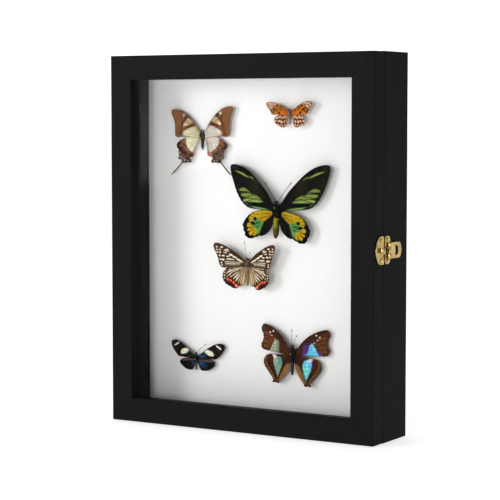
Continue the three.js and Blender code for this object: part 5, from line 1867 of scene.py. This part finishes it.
for index, (name, spec) in enumerate(SPECIMENS.items()):
    outlines = {}
    for side_name in ("left", "right"):
        for wing in ("fore", "hind"):
            seed = index * 10 + len(outlines)
            outlines[(side_name, wing)] = wing_sheet(name, spec, side_name, wing, seed)
    raised_veins(name, spec, outlines)
    insect_body(name, spec, index)
    insect_hair(name, spec, index + 1)
    insect_limbs(name, spec)
    insect_eyes(name, spec)
    specimen_pin(name, spec)


# Stage: pale floor, soft light, camera

def pale_floor():
    look = Look("pale_floor", Base_Color=(0.86, 0.86, 0.86, 1), Roughness=0.8)
    look.surface.inputs["Emission Color"].default_value = (1, 1, 1, 1)
    look.surface.inputs["Emission Strength"].default_value = FLOOR_GLOW
    corners = [(sx * FLOOR_HALF, sy * FLOOR_HALF, 0) for sx, sy in ((-1, -1), (1, -1), (1, 1), (-1, 1))]
    floor = object_from("floor", corners, [(0, 1, 2, 3)], smooth=False)
    floor.data.materials.append(look.material)


def soft_world():
    """White behind the object as the camera sees it, dimmer on the side that lights its front."""
    world = bpy.data.worlds.new("soft_studio")
    world.use_nodes = True
    tree = world.node_tree
    back = tree.nodes["Background"]
    back.inputs["Color"].default_value = (1, 1, 1, 1)
    place = tree.nodes.new("ShaderNodeTexCoord")
    azimuth = math.radians(CAMERA_AZIMUTH)
    dot = tree.nodes.new("ShaderNodeVectorMath")
    dot.operation = "DOT_PRODUCT"
    dot.inputs[1].default_value = (-math.sin(azimuth), math.cos(azimuth), 0)
    tree.links.new(place.outputs["Generated"], dot.inputs[0])
    spread = tree.nodes.new("ShaderNodeMapRange")
    for socket, value in (("From Min", 0.5), ("From Max", 0.9), ("To Min", 0.38), ("To Max", 1.25)):
        spread.inputs[socket].default_value = value
    tree.links.new(dot.outputs["Value"], spread.inputs["Value"])
    tree.links.new(spread.outputs["Result"], back.inputs["Strength"])
    bpy.context.scene.world = world


def soft_light(name, place, size, power):
    data = bpy.data.lights.new(name, "AREA")
    data.shape = "DISK"
    data.size = size
    data.energy = power
    light = bpy.data.objects.new(name, data)
    light.location = place
    light.rotation_euler = (Vector(LIGHT_AIM) - Vector(place)).to_track_quat("-Z", "Y").to_euler()
    bpy.context.scene.collection.objects.link(light)


def camera():
    data = bpy.data.cameras.new("camera")
    data.lens = CAMERA_LENS
    data.sensor_width = SENSOR_WIDTH
    data.clip_start = 0.01
    eye = bpy.data.objects.new("camera", data)
    eye.location = CAMERA_PLACE
    eye.rotation_euler = (math.radians(90 - CAMERA_PITCH), 0, math.radians(CAMERA_AZIMUTH))
    bpy.context.scene.collection.objects.link(eye)
    bpy.context.scene.camera = eye


pale_floor()
soft_world()
soft_light("key", place=(0.15, -2.3, 0.24), size=0.6, power=12.2)
soft_light("side", place=(-1.5, -1.95, 0.66), size=1.0, power=23)
camera()
bpy.context.scene.view_settings.view_transform = "Standard"
